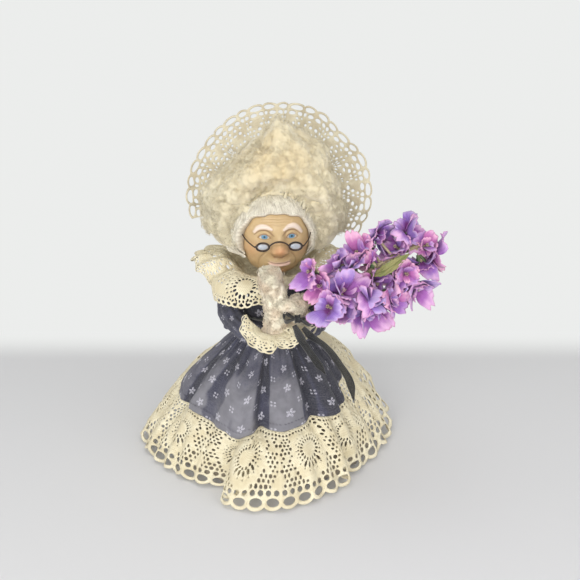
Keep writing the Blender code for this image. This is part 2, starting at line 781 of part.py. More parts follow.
def make_fringe(finishes, pivot):
    """Make the white hair that is combed back round the face."""
    rows = []
    for row in range(fringe_rows + 1):
        points = []
        for column in range(fringe_columns + 1):
            bearing = fringe_span_degrees * (2.0 * column / fringe_columns - 1.0)
            points.append(fringe_point(bearing, row / fringe_rows, fringe_thickness))
        rows.append(points)
    rows.reverse()
    sheet("hair_fringe", rows, fringe_thickness, finishes["white_hair"], pivot)


def wool_point(turn, rise, centre, half):
    """Give a point of a lumpy ball of wool."""
    direction = Vector((math.cos(rise) * math.cos(turn), math.cos(rise) * math.sin(turn),
                        math.sin(rise)))
    lump = math.sin(turn * wool_lump_waves + rise) * math.cos(rise * wool_lump_bands)
    return centre + Vector([(reach + wool_lump * lump) * part
                            for reach, part in zip(half, direction)])


def wool_ball(name, centre, half, front_y, back_y):
    """Make a ball of wool pressed flat between a front and a back plane."""
    bm = bmesh.new()
    bmesh.ops.create_uvsphere(bm, u_segments=wool_segments, v_segments=wool_rings, radius=1.0)
    for vertex in bm.verts:
        turn = math.atan2(vertex.co.y, vertex.co.x)
        rise = math.asin(min(max(vertex.co.z, -1.0), 1.0))
        point = wool_point(turn, rise, centre, half)
        point.y = min(max(point.y, front_y), back_y)
        point.z = max(point.z, wool_bottom_height)
        vertex.co = point
    return mesh_from(bm, name)


def head_clearance_mesh():
    """Make the space that the wool leaves for the head and the combed hair."""
    wide = head_half_width + fringe_clearance + fringe_thickness + fit_gap
    tall = head_half_height + fringe_clearance + fringe_thickness + fit_gap
    back_wide = head_half_width + fit_gap * 2.0
    back_tall = head_half_height + fit_gap * 2.0
    back_deep = head_half_depth + fit_gap * 2.0
    sections = [(head_offset_y - head_half_depth * 2.0, wide, tall), (head_offset_y, wide, tall)]
    for step in range(1, hollow_steps + 1):
        share = math.sin(step / (hollow_steps + 0.5) * math.pi / 2.0)
        level = math.sqrt(1.0 - share * share)
        sections.append((head_offset_y + back_deep * share, back_wide * level, back_tall * level))
    rings = []
    for y, half_wide, half_tall in sections:
        ring = []
        for step in range(hollow_sides + 1):
            angle = math.pi * step / hollow_sides
            ring.append(Vector((head_offset_x + half_wide * math.cos(angle), y,
                                head_centre_height + half_tall * math.sin(angle))))
        floor = wool_bottom_height - overrun
        if half_tall > head_centre_height - floor:
            floor = head_centre_height - half_tall
        ring.append(Vector((head_offset_x - half_wide, y, floor)))
        ring.append(Vector((head_offset_x + half_wide, y, floor)))
        rings.append([turn_head(point) for point in ring])
    return loft_mesh("head_clearance", rings)


def make_wool(finishes, pivot):
    """Make the wool hair as four tufts that part from each other."""
    centre = Vector((wool_centre_x, wool_centre_y, wool_centre_height))
    half = (wool_half_width, wool_half_depth, wool_half_height)
    clear = cutter("head_clearance", head_clearance_mesh())
    far = wool_half_width * 2.0
    low = wool_part_height - wool_part_gap / 2.0
    high = wool_part_height + wool_part_gap / 2.0
    split = head_offset_x
    parts = (
        ("wool_top", (-far, -far, high), (far, far, high + far)),
        ("wool_right", (-far, -far, low - far), (split - wool_part_gap / 2.0, far, low)),
        ("wool_left", (split + wool_part_gap / 2.0, -far, low - far), (far, far, low)),
    )
    for name, corner_low, corner_high in parts:
        mesh = wool_ball(name, centre, half, -far, wool_back_y)
        item = add_object(name, mesh, finishes["wool"], pivot)
        cut(item, cutter(name + "_region", box_mesh(name + "_region", corner_low, corner_high)),
            "INTERSECT")
        cut(item, clear)

    inner = bonnet_crown_radius - bonnet_crown_wall - fit_gap * 2.0 - wool_lump
    head_back_y = head_offset_y + head_half_depth + fit_gap * 2.0
    back_centre = Vector((bonnet_centre_x, head_back_y, bonnet_centre_height))
    deep = bonnet_y + bonnet_crown_depth - back_centre.y - bonnet_crown_wall - fit_gap - wool_lump
    mesh = wool_ball("wool_back", back_centre, (inner, deep, inner), back_centre.y, far)
    add_object("wool_back", mesh, finishes["wool"], pivot)


def bonnet_point(angle, share):
    """Give a point of the bonnet's brim; angle 0 is the top."""
    turn = math.radians(angle)
    edge = bonnet_edge_radius * read_table(bonnet_edge_shares, angle)[0]
    inner = bonnet_crown_radius + bonnet_seam_gap
    radius = inner + (edge - inner) * share
    lean = bonnet_side_lean_share + bonnet_lean_share * max(0.0, math.cos(turn))
    y = bonnet_y + (radius - inner) * lean
    y += bonnet_ripple * share * math.cos(turn * bonnet_ripple_count)
    return Vector((bonnet_centre_x + radius * math.sin(turn), y,
                   bonnet_centre_height + radius * math.cos(turn)))


def make_bonnet(finishes, pivot):
    """Make the bonnet's rippled lace brim and its domed crown."""
    span = bonnet_right_degrees - bonnet_left_degrees
    rows = []
    for row in range(bonnet_rows + 1):
        rows.append([bonnet_point(bonnet_left_degrees + span * column / bonnet_columns,
                                  row / bonnet_rows)
                     for column in range(bonnet_columns + 1)])
    rows.reverse()
    sheet("bonnet_lace", rows, bonnet_thread, finishes["bonnet_lace"], pivot)

    rows = []
    for row in range(crown_rows + 1):
        angle = math.pi / 2.0 * row / crown_rows
        wide = bonnet_crown_radius * max(math.cos(angle), crown_tip_share)
        y = bonnet_y + bonnet_crown_depth * math.sin(angle)
        turns = [2.0 * math.pi * step / crown_sides for step in range(crown_sides)]
        rows.append([Vector((bonnet_centre_x + wide * math.sin(turn), y,
                             bonnet_centre_height + wide * math.cos(turn))) for turn in turns])
    bm = bmesh.new()
    grid = [[bm.verts.new(point) for point in row] for row in rows]
    for low, high in zip(grid, grid[1:]):
        for step in range(crown_sides):
            after = (step + 1) % crown_sides
            bm.faces.new((low[step], low[after], high[after], high[step]))
    bm.faces.new(grid[-1])
    bmesh.ops.recalc_face_normals(bm, faces=bm.faces[:])
    mesh = bpy.data.meshes.new("bonnet_crown")
    bm.to_mesh(mesh)
    bm.free()
    item = add_object("bonnet_crown", mesh, finishes["bonnet_lace"], pivot)
    solid = item.modifiers.new("Thickness", "SOLIDIFY")
    solid.thickness = bonnet_crown_wall
    solid.offset = -1.0


def face_place(x, reach, height):
    """Give a place before the face, in the head's own directions."""
    return turn_head(Vector((head_offset_x + x, -reach, height)))


def rim_mesh(name, side):
    """Make one oval wire rim."""
    bm = bmesh.new()
    loops = []
    for step in range(rim_segments):
        turn = 2.0 * math.pi * step / rim_segments
        centre = Vector((side * rim_spacing + rim_half_width * math.cos(turn), 0.0,
                         rim_half_height * math.sin(turn)))
        normal = Vector((math.cos(turn) * rim_half_height, 0.0,
                         math.sin(turn) * rim_half_width)).normalized()
        loop = []
        for wire_step in range(rim_wire_sides):
            angle = 2.0 * math.pi * wire_step / rim_wire_sides
            offset = normal * rim_wire * math.cos(angle)
            offset += Vector((0.0, rim_wire * math.sin(angle), 0.0))
            point = centre + offset
            loop.append(bm.verts.new(face_place(point.x, rim_reach - point.y,
                                                rim_height + point.z)))
        loops.append(loop)
    for index, loop in enumerate(loops):
        following = loops[(index + 1) % rim_segments]
        for step in range(rim_wire_sides):
            after = (step + 1) % rim_wire_sides
            bm.faces.new((loop[step], loop[after], following[after], following[step]))
    return mesh_from(bm, name)


def make_spectacles(finishes, pivot):
    """Make the wire spectacles: rims joined by a bridge, two temples and two lenses."""
    frame = add_object("spectacle_frame", rim_mesh("spectacle_frame", -1.0), finishes["rim"],
                       pivot)
    other = cutter("other_rim", rim_mesh("other_rim", 1.0))
    cut(frame, other, "UNION")
    inner = rim_spacing - rim_half_width
    route = [face_place(-inner + 2.0 * inner * step / bridge_steps, rim_reach,
                        rim_height + bridge_rise * math.sin(math.pi * step / bridge_steps))
             for step in range(bridge_steps + 1)]
    rings = tube_rings(route, [bridge_wire] * len(route), rim_wire_sides)
    bridge = cutter("bridge", loft_mesh("bridge", rings))
    cut(frame, bridge, "UNION")

    for name, side in (("right", -1.0), ("left", 1.0)):
        start = rim_spacing + rim_half_width + rim_wire + temple_wire
        route = [face_place(side * start, rim_reach, rim_height),
                 face_place(side * temple_end_half, temple_end_reach, temple_end_height)]
        middle = (route[0] + route[1]) / 2.0
        route.insert(1, middle)
        tube("temple_" + name, route, [temple_wire] * len(route), rim_wire_sides,
             finishes["rim"], pivot)

        half_wide = rim_half_width - rim_wire - fit_gap
        half_tall = rim_half_height - rim_wire - fit_gap
        rings = []
        for depth in (-lens_thickness / 2.0, lens_thickness / 2.0):
            turns = [2.0 * math.pi * step / rim_segments for step in range(rim_segments)]
            rings.append([face_place(side * rim_spacing + half_wide * math.cos(turn),
                                     rim_reach + depth, rim_height + half_tall * math.sin(turn))
                          for turn in turns])
        add_object("lens_" + name, loft_mesh("lens_" + name, rings), finishes["glass"], pivot)


def route_from(shares, start, reach):
    """Give the points of a route that is a table of shares of a reach from a start."""
    return [start + Vector(stop[:3]) * reach for stop in shares]


def grip_place():
    """Give the place where the hands hold the stems."""
    return Vector((0.0, 0.0, shoulder_height)) + Vector(grip_shares) * arm_reach


def bow_place():
    """Give the middle of the ribbon's knot, before the grip."""
    return grip_place() + Vector((0.0, -bow_forward, -bow_drop))


def make_sleeve(side_name, shares, finishes, pivot):
    """Make one gathered sleeve with the arm's wire through it."""
    points = route_from(shares, Vector((0.0, 0.0, shoulder_height)), arm_reach)
    radii = [sleeve_radius * stop[3] for stop in shares]
    rings = tube_rings(points, radii, sleeve_sides, sleeve_fold, sleeve_fold_count)
    for point in rings[0]:
        point.x = points[0].x
    name = "sleeve_" + side_name
    item = add_object(name, loft_mesh(name, rings), finishes["navy"], pivot)
    first = points[0] + (points[0] - points[1]).normalized() * overrun
    last = points[-1] + (points[-1] - points[-2]).normalized() * overrun
    bore_points = [first] + points + [last]
    bore_radius = arm_wire_radius + fit_gap
    bore = loft_mesh(name + "_bore",
                     tube_rings(bore_points, [bore_radius] * len(bore_points), arm_wire_sides))
    cut(item, cutter(name + "_bore", bore))
    tube("arm_wire_" + side_name, points, [arm_wire_radius] * len(points), arm_wire_sides,
         finishes["wire"], pivot)


def make_mittens(finishes, pivot):
    """Make the two knitted mittens that hold the stems."""
    main = stem_points()
    side = side_stem_points()
    first = main[0] - (main[1] - main[0]).normalized() * fit_gap
    main_bore = loft_mesh("stem_bore", tube_rings(
        [first] + main[1:], [stem_radius + fit_gap] * len(main), stem_sides))
    first = side[0] - (side[1] - side[0]).normalized() * fit_gap
    side_bore = loft_mesh("side_stem_bore", tube_rings(
        [first] + side[1:], [side_stem_radius + fit_gap] * len(side), stem_sides))
    main_cut = cutter("stem_bore", main_bore)
    side_cut = cutter("side_stem_bore", side_bore)
    for side_name, shares in (("right", mitten_right_shares), ("left", mitten_left_shares)):
        points = route_from(shares, grip_place(), hand_reach)
        radii = [mitten_radius * stop[3] for stop in shares]
        name = "mitten_" + side_name
        mesh = loft_mesh(name, tube_rings(points, radii, mitten_sides))
        item = add_object(name, mesh, finishes["boucle"], pivot)
        cut(item, main_cut)
        if side_name == "left":
            cut(item, side_cut)


def wrist_of(shares, share):
    """Give a place on a mitten past its second stop, and the mitten's radius there."""
    points = route_from(shares, grip_place(), hand_reach)
    radius = mitten_radius * (shares[1][3] + (shares[2][3] - shares[1][3]) * share)
    return points[1] + (points[2] - points[1]) * share, radius


def make_cuff(name, wrist, bearings_between, reaches, falls, finishes, pivot):
    """Make one fan of lace round a wrist; the pairs hold its two ends' values."""
    middle, wrist_radius = wrist
    top_radius = wrist_radius + cuff_clearance
    rows = []
    for row in range(cuff_rows + 1):
        share = row / cuff_rows
        points = []
        for column in range(cuff_columns + 1):
            along = column / cuff_columns
            bearing = bearings_between[0] + (bearings_between[1] - bearings_between[0]) * along
            reach = reaches[0] + (reaches[1] - reaches[0]) * along
            fall = falls[0] + (falls[1] - falls[0]) * along
            ripple = cuff_ripple * share * math.cos(2.0 * math.pi * cuff_ripple_count * along)
            radius = top_radius + (reach - top_radius) * share + ripple
            points.append(place(radius, bearing, -fall * share * share) + middle)
        rows.append(points)
    sheet(name, rows, lace_thread, finishes["lace"], pivot)


def stem_points():
    """Give the main stem's points."""
    return route_from(stem_shares, grip_place(), spray_reach)


def side_stem_points():
    """Give the side stem's points."""
    return route_from(side_stem_shares, grip_place(), spray_reach)


def nearest_on(points, target):
    """Give the nearest place to a target on a route."""
    best = points[0]
    for low, high in zip(points, points[1:]):
        run = high - low
        share = min(max((target - low).dot(run) / run.length_squared, 0.0), 1.0)
        spot = low + run * share
        if (spot - target).length < (best - target).length:
            best = spot
    return best


def root_offset(route, spot, away, thickness):
    """Give how far from a stem's middle line a floret's tube starts to stay clear of it."""
    if spot != route[-1]:
        return thickness + fit_gap
    along = max(away.dot((route[-1] - route[-2]).normalized()), 0.01)
    out = max(math.sqrt(max(0.0, 1.0 - along * along)), 0.01)
    past_end = (fit_gap + floret_tube * out) / along
    past_side = (thickness + fit_gap + floret_tube * along) / out
    return min(past_end, past_side)


def petal_reach(step):
    """Give a petal's edge as a share of the floret's radius."""
    return petal_notch_share if step % petal_steps == 0 else 1.0


def floret_mesh(name, root, centre, radius):
    """Make a funnel of petals on its tube; root is the tube's end at the stem."""
    axis = (centre - root).normalized()
    helper = Vector((0.0, 0.0, 1.0)) if abs(axis.z) < 0.8 else Vector((1.0, 0.0, 0.0))
    side = axis.cross(helper).normalized()
    rise = axis.cross(side)
    count = petal_count * petal_steps
    neck = centre - axis * radius * floret_depth_share
    throat = radius * floret_throat_share
    # Each ring: its centre, its radius and whether it has the petals' outline
    sections = (
        (root, floret_tube, False),
        (neck - axis * throat, floret_tube, False),
        (neck + axis * radius * floret_waist_share, radius * floret_waist_width_share, True),
        (neck + axis * radius * floret_cup_share, radius, True),
        (neck + axis * (radius * floret_cup_share + petal_thickness), radius, True),
        (neck + axis * (radius * floret_waist_share + petal_thickness),
         radius * floret_inner_width_share, True),
        (neck + axis * petal_thickness, throat, False),
    )
    rings = []
    for middle, reach, lobed in sections:
        ring = []
        for step in range(count):
            turn = 2.0 * math.pi * step / count
            size = reach * (petal_reach(step) if lobed else 1.0)
            size = max(size, radius * floret_least_width_share) if lobed else size
            ring.append(middle + side * size * math.cos(turn) + rise * size * math.sin(turn))
        rings.append(ring)
    return loft_mesh(name, rings)


def make_bouquet(finishes, pivot):
    """Make the stems, the leaf and the florets."""
    main = stem_points()
    side = side_stem_points()
    tube("bouquet_stem", main, [stem_radius] * len(main), stem_sides, finishes["stem"], pivot)
    tube("bouquet_side_stem", side, [side_stem_radius] * len(side), stem_sides,
         finishes["stem"], pivot)
    grip = grip_place()
    for index, (name, x, y, z, size, carrier) in enumerate(floret_shares):
        centre = grip + Vector((x, y, z)) * spray_reach
        route, thickness = (main, stem_radius) if carrier == "main" else (side, side_stem_radius)
        spot = nearest_on(route, centre)
        away = (centre - spot).normalized()
        root = spot + away * root_offset(route, spot, away, thickness)
        colour = finishes["pink"] if index % 3 == 0 else finishes["violet"]
        mesh = floret_mesh(name, root, centre, floret_radius * size)
        add_object(name, mesh, colour, pivot)

    points = route_from(leaf_route_shares, grip, spray_reach)
    rows = []
    for side_share in (-1.0, 0.0, 1.0):
        row = []
        for point, width_share, (along, across, rise) in zip(points, leaf_width_shares,
                                                             frames_along(points)):
            width = leaf_half_width * width_share * side_share
            dip = leaf_half_width * leaf_dip_share * (1.0 - abs(side_share))
            row.append(point + rise * width + across * dip)
        rows.append(row)
    sheet("leaf", rows, leaf_thickness, finishes["leaf"], pivot)


def ribbon_strip(name, shares, finishes, pivot):
    """Make a flat ribbon tail along a route, cut to a point at its end."""
    points = route_from(shares, bow_place(), tail_reach)
    low_row = []
    high_row = []
    for index, (point, (along, _, _)) in enumerate(zip(points, frames_along(points))):
        across = Vector((1.0, -tail_lean_share, 0.0))
        across = (across - along * across.dot(along)).normalized()
        width = ribbon_width / 2.0
        if index == len(points) - 1:
            width = ribbon_thickness
        low_row.append(point - across * width)
        high_row.append(point + across * width)
    sheet(name, [low_row, high_row], ribbon_thickness, finishes["ribbon"], pivot)


def make_ribbon(finishes, pivot):
    """Make the ribbon's bow and its two tails."""
    knot = bow_place()
    rings = []
    for share, depth_share, height_share in bow_shares:
        x = knot.x + bow_half_width * share
        deep = bow_half_height * depth_share
        tall = bow_half_height * height_share
        turns = [2.0 * math.pi * step / bow_sides for step in range(bow_sides)]
        rings.append([Vector((x, knot.y + deep * math.cos(turn), knot.z + tall * math.sin(turn)))
                      for turn in turns])
    add_object("ribbon_bow", loft_mesh("ribbon_bow", rings), finishes["ribbon"], pivot)
    ribbon_strip("ribbon_tail_long", tail_long_shares, finishes, pivot)
    ribbon_strip("ribbon_tail_short", tail_short_shares, finishes, pivot)


def make_pivot(name, location):
    """Put an empty on a joint's axis."""
    pivot = bpy.data.objects.new(name, None)
    pivot.location = location
    bpy.context.scene.collection.objects.link(pivot)
    return pivot


def main():
    """Build the doll."""
    clear_scene()
    finishes = make_finishes()
    head_pivot = make_pivot("head_pivot", Vector((0.0, 0.0, neck_bottom)))
    temple_line = face_place(0.0, temple_end_reach, temple_end_height)
    spectacle_pivot = make_pivot("spectacle_pivot", temple_line)
    arm_pivot = make_pivot("arm_pivot", Vector((0.0, 0.0, shoulder_height)))
    bpy.context.view_layer.update()

    make_body(finishes)
    make_petticoat(finishes)
    make_skirt(finishes)
    make_hem_lace(finishes)
    make_collar(finishes)
    make_head(finishes, head_pivot)
    make_fringe(finishes, head_pivot)
    make_wool(finishes, head_pivot)
    make_bonnet(finishes, head_pivot)
    make_spectacles(finishes, spectacle_pivot)
    make_sleeve("right", sleeve_right_shares, finishes, arm_pivot)
    make_sleeve("left", sleeve_left_shares, finishes, arm_pivot)
    make_mittens(finishes, arm_pivot)
    make_cuff("cuff_lace_right", wrist_of(mitten_right_shares, cuff_right_stop_share),
              (cuff_right_from_degrees, cuff_right_to_degrees),
              (cuff_right_from_reach, cuff_right_to_reach),
              (cuff_right_from_fall, cuff_right_to_fall), finishes, arm_pivot)
    make_cuff("cuff_lace_left", wrist_of(mitten_left_shares, cuff_left_stop_share),
              (cuff_left_from_degrees, cuff_left_to_degrees),
              (cuff_left_from_reach, cuff_left_to_reach),
              (cuff_left_from_fall, cuff_left_to_fall), finishes, arm_pivot)
    make_bouquet(finishes, arm_pivot)
    make_ribbon(finishes, arm_pivot)


main()
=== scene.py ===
"""Looks of an apple head doll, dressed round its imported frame.

Every piece stands in the frame's metres. The doll faces -Y, its own left is +X and +Z is up.
"""

import logging
import math
from dataclasses import dataclass, field
from enum import Enum
from functools import cache
from typing import Callable, Sequence

import bpy
import numpy as np
from mathutils import Euler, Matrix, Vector
from mathutils.geometry import delaunay_2d_cdt


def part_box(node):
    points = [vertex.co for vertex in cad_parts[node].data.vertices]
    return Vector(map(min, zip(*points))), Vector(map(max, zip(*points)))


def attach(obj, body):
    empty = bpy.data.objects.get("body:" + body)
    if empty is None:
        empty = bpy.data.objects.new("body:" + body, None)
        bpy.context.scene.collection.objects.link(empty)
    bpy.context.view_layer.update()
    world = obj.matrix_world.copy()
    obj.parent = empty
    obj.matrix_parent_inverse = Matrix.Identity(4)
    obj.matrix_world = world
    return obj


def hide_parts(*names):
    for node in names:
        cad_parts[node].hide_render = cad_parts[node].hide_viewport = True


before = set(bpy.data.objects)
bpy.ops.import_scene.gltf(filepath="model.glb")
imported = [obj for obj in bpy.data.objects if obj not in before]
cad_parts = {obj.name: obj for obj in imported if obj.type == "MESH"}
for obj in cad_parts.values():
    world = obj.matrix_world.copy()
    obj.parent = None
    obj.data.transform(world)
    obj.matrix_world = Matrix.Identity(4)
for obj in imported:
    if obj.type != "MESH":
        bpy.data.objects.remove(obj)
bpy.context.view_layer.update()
LOG = logging.getLogger("doll")

Array = np.ndarray
Item = bpy.types.Object
Material = bpy.types.Material
Pair = tuple[float, float]
Place = tuple[float, float, float]
Colour = Place
Surface = Callable[[Array, Array], Array]
FULL_TURN = 2.0 * math.pi
SIDES = ((-1.0, "right"), (1.0, "left"))


class Body(Enum):
    """The frame's bodies."""

    ROOT = "root"
    HEAD = "head"
    SPECTACLES = "spectacles"
    ARMS = "arms"


# Numbers on surfaces


def ease(value: Array) -> Array:
    """Ease values from 0 to 1 with a flat start and end."""
    value = np.clip(value, 0.0, 1.0)
    return value * value * (3.0 - 2.0 * value)


def eased_table(table: Sequence[Sequence[float]], at: Array) -> list[Array]:
    """Read the columns of a table along its first column.

    Args:
        table: Rows that start with a rising key.
        at: Keys to read at.

    Returns:
        One array for each further column, eased between rows.
    """
    rows = np.array(table, float)
    at = np.asarray(at, float)
    low = np.clip(np.searchsorted(rows[:, 0], at, side="right") - 1, 0, len(rows) - 2)
    share = ease((at - rows[low, 0]) / (rows[low + 1, 0] - rows[low, 0]))
    return [rows[low, column] + (rows[low + 1, column] - rows[low, column]) * share
            for column in range(1, rows.shape[1])]


def smooth_path(stops: Sequence[Sequence[float]], per_span: int = 16) -> Array:
    """Run a smooth curve through stops of any width.

    Args:
        stops: Rows to run through.
        per_span: Points between two rows.

    Returns:
        The curve's points.
    """
    known = np.array(stops, float)
    padded = np.vstack([2.0 * known[0] - known[1], known, 2.0 * known[-1] - known[-2]])
    share = np.linspace(0.0, 1.0, per_span, endpoint=False)[:, None]
    spans = []
    for index in range(1, len(known)):
        before, start, end, after = padded[index - 1:index + 3]
        spans.append(start + 0.5 * share * ((end - before) + share * (
            2.0 * before - 5.0 * start + 4.0 * end - after + share * (
                3.0 * (start - end) + after - before))))
    return np.vstack(spans + [known[-1:]])


def shares(count: int) -> Array:
    """Give even steps from 0 to 1."""
    return np.linspace(0.0, 1.0, count)


def bearings(count: int) -> Array:
    """Give even bearings all round, in degrees from the front."""
    return np.linspace(-180.0, 180.0, count, endpoint=False)


def stacked(*columns: Array | float) -> Array:
    """Put the columns of points together."""
    return np.stack(np.broadcast_arrays(*columns), -1)


def run_length(points: Array) -> Array:
    """Give the length from the start to each point of a path."""
    steps = np.linalg.norm(np.diff(points, axis=0), axis=1)
    return np.concatenate([[0.0], np.cumsum(steps)])


def read_path(points: Array, along: Array, at: Array) -> Array:
    """Read every column of a path at given lengths."""
    return np.stack([np.interp(at, along, points[:, axis]) for axis in range(points.shape[1])], -1)


def polar(radius: Array, bearing: Array, height: Array) -> Array:
    """Give points from radii, bearings in degrees from the front, and heights."""
    angle = np.radians(bearing)
    return stacked(radius * np.sin(angle), -radius * np.cos(angle), height)


def soft_noise(points: Array, size: float, seed: int) -> Array:
    """Give smooth noise of about -1 to 1 in space, with lumps of one size.

    Args:
        points: Places in space.
        size: Size of the lumps.
        seed: Seed of the draw.

    Returns:
        The noise at each place.
    """
    draw = np.random.default_rng(seed)
    waves = 14
    rates = draw.normal(size=(waves, 3))
    rates /= np.linalg.norm(rates, axis=1, keepdims=True)
    rates *= FULL_TURN / size * draw.uniform(0.6, 1.4, (waves, 1))
    phases = draw.uniform(0.0, FULL_TURN, waves)
    return np.sin(points @ rates.T + phases).sum(-1) / math.sqrt(waves)


def unit(vectors: Array) -> Array:
    """Scale vectors to length one."""
    return vectors / np.maximum(np.linalg.norm(vectors, axis=-1, keepdims=True), 1e-12)


def bell(across: Array, up: Array, wide: float, tall: float) -> Array:
    """Give a soft bell of height one over a place."""
    return np.exp(-(across / wide) ** 2 - (up / tall) ** 2)


# Meshes


def grid_faces(rows: int, columns: int, ring: bool = False, hoop: bool = False) -> Array:
    """Give the quads of a grid of points.

    Args:
        rows: Number of rows.
        columns: Number of points in each row.
        ring: Whether each row closes on itself.
        hoop: Whether the last row joins the first.

    Returns:
        Quads as rows of four point numbers.
    """
    low = np.arange(rows if hoop else rows - 1)[:, None]
    left = np.arange(columns if ring else columns - 1)[None, :]
    high = (low + 1) % rows
    right = (left + 1) % columns
    quads = [low * columns + left, low * columns + right, high * columns + right,
             high * columns + left]
    return np.stack(quads, -1).reshape(-1, 4)


def placed(name: str, data: bpy.types.ID) -> Item:
    """Make an object and put it in the scene.

    Args:
        name: The object's name.
        data: Its mesh, lamp or camera.

    Returns:
        The object.
    """
    item = bpy.data.objects.new(name, data)
    bpy.context.scene.collection.objects.link(item)
    return item


def build(name: str, points: Array, faces: Sequence[Array], finish: Material,
          values: dict[str, Array] | None = None) -> Item:
    """Make a shaded mesh object.

    Args:
        name: The piece's name.
        points: Points as rows of x, y and z.
        faces: Arrays of faces, each with one number of corners.
        finish: The material.
        values: Values of each point by attribute name, with one or three columns.

    Returns:
        The new object.
    """
    mesh = bpy.data.meshes.new(name)
    listed = [face for group in faces for face in np.asarray(group).tolist()]
    mesh.from_pydata(np.asarray(points, float).reshape(-1, 3).tolist(), [], listed)
    mesh.shade_smooth()
    mesh.materials.append(finish)
    for key, column in (values or {}).items():
        column = np.asarray(column, np.float32)
        kind = "FLOAT" if column.ndim == 1 else "FLOAT_VECTOR"
        layer = mesh.attributes.new(key, kind, "POINT")
        layer.data.foreach_set("value" if column.ndim == 1 else "vector", column.ravel())
    return placed(name, mesh)


def thicken(item: Item, thickness: float, offset: float = 0.0) -> None:
    """Give a sheet its thickness."""
    solid = item.modifiers.new("Thickness", "SOLIDIFY")
    solid.thickness, solid.offset = thickness, offset


def tubes(paths: Array, radii: Array, sides: int) -> tuple[Array, list[Array]]:
    """Sweep round tubes along many paths at once.

    Args:
        paths: Points of each path, shaped (paths, stops, 3).
        radii: Radius at each stop, shaped to broadcast to (paths, stops).
        sides: Corners of each tube's section.

    Returns:
        The points, and arrays of side faces and end faces.
    """
    count, stops, _ = paths.shape
    radii = np.broadcast_to(radii, (count, stops))
    along = unit(np.gradient(paths, axis=1))
    helper = np.where(np.abs(along[:, :1, 2:]) < 0.9, [0.0, 0.0, 1.0], [1.0, 0.0, 0.0])
    side = unit(np.cross(along[:, 0], helper[:, 0]))
    turn = FULL_TURN * np.arange(sides) / sides
    rings = np.empty((count, stops, sides, 3))
    for stop in range(stops):
        side = unit(side - along[:, stop] * (side * along[:, stop]).sum(-1, keepdims=True))
        rise = np.cross(along[:, stop], side)
        ring = (side[:, None] * np.cos(turn)[None, :, None]
                + rise[:, None] * np.sin(turn)[None, :, None])
        rings[:, stop] = paths[:, stop, None] + ring * radii[:, stop, None, None]
    quads = grid_faces(stops, sides, ring=True)
    starts = (np.arange(count) * stops * sides)[:, None, None]
    body = (quads[None] + starts).reshape(-1, 4)
    first = (np.arange(sides)[::-1][None] + starts[:, 0]).reshape(-1, sides)
    last = (np.arange(sides)[None] + (stops - 1) * sides + starts[:, 0]).reshape(-1, sides)
    return rings.reshape(-1, 3), [body, first, last]


def curl_paths(points: Array, normals: Array, count: int, seed: int,
               size: Pair, stops: int) -> Array:
    """Lay loose curls on a surface.

    Args:
        points: The surface's points.
        normals: Their normals.
        count: Number of curls.
        seed: Seed of the draw.
        size: Least and greatest radius of a curl.
        stops: Points along each.

    Returns:
        Paths shaped (curls, stops, 3).
    """
    draw = np.random.default_rng(seed)
    chosen = draw.integers(0, len(points), count)
    out = normals[chosen]
    side = unit(np.cross(out, draw.normal(size=(count, 3))))
    other = np.cross(out, side)
    radius = draw.uniform(size[0], size[1], count)[:, None]
    sweep = draw.uniform(3.2, 7.5, count)[:, None]
    run = shares(stops)[None]
    angle = draw.uniform(0.0, FULL_TURN, count)[:, None] + sweep * run
    shrink = 1.0 - draw.uniform(0.0, 0.6, count)[:, None] * run
    lift = draw.uniform(-0.0004, 0.0008, count)[:, None] + radius * (
        0.55 * np.sin(math.pi * run) + draw.uniform(-0.5, 0.7, count)[:, None] * run)
    slide = radius * draw.uniform(-1.2, 1.2, count)[:, None] * run
    flat = (side[:, None] * (radius * shrink * np.cos(angle) + slide)[..., None]
            + other[:, None] * (radius * shrink * np.sin(angle))[..., None])
    return points[chosen][:, None] + flat + out[:, None] * lift[..., None]


def puff_height(points: Array, seeds: Array, sizes: Array) -> Array:
    """Give the height of round puffs over a surface, each with its own size.

    Args:
        points: The surface's points.
        seeds: Middles of the puffs.
        sizes: Their radii.

    Returns:
        The height at each point.
    """
    total = np.zeros(len(points))
    for seed, size in zip(seeds, sizes):
        away = ((points - seed) ** 2).sum(1) / size ** 2
        total += (0.5 * size * np.clip(1.0 - away, 0.0, 1.0) ** 0.7) ** 7
    return total ** (1.0 / 7.0)


def merge(parts: Sequence[tuple[Array, Sequence[Array]]]) -> tuple[Array, list[Array]]:
    """Put several sets of points and faces into one.

    Args:
        parts: Points, each with arrays of faces.

    Returns:
        All points and all faces.
    """
    points: list[Array] = []
    faces: list[Array] = []
    start = 0
    for own_points, own_faces in parts:
        points.append(own_points)
        faces.extend(np.asarray(group) + start for group in own_faces)
        start += len(own_points)
    return np.vstack(points), faces


def copied_solid(node: str, voxel: float) -> Item:
    """Copy a frame node's solid as an even, smooth mesh of small faces.

    Args:
        node: The frame node.
        voxel: Size of the new faces.

    Returns:
        The new object.
    """
    item = placed(node + "_core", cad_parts[node].data.copy())
    change = item.modifiers.new("Even", "REMESH")
    change.mode = "VOXEL"
    change.voxel_size = voxel
    change.use_smooth_shade = True
    relax = item.modifiers.new("Relax", "SMOOTH")
    relax.iterations = 6
    graph = bpy.context.evaluated_depsgraph_get()
    mesh = bpy.data.meshes.new_from_object(item.evaluated_get(graph))
    item.modifiers.clear()
    item.data = mesh
    return item


def mesh_points(item: Item) -> tuple[Array, Array]:
    """Give an object's points and their normals.

    Args:
        item: The object.

    Returns:
        Its points and its normals.
    """
    mesh = item.data
    points = np.empty(len(mesh.vertices) * 3, np.float32)
    normals = np.empty(len(mesh.vertices) * 3, np.float32)
    mesh.vertices.foreach_get("co", points)
    mesh.vertex_normals.foreach_get("vector", normals)
    return points.reshape(-1, 3).astype(float), normals.reshape(-1, 3).astype(float)


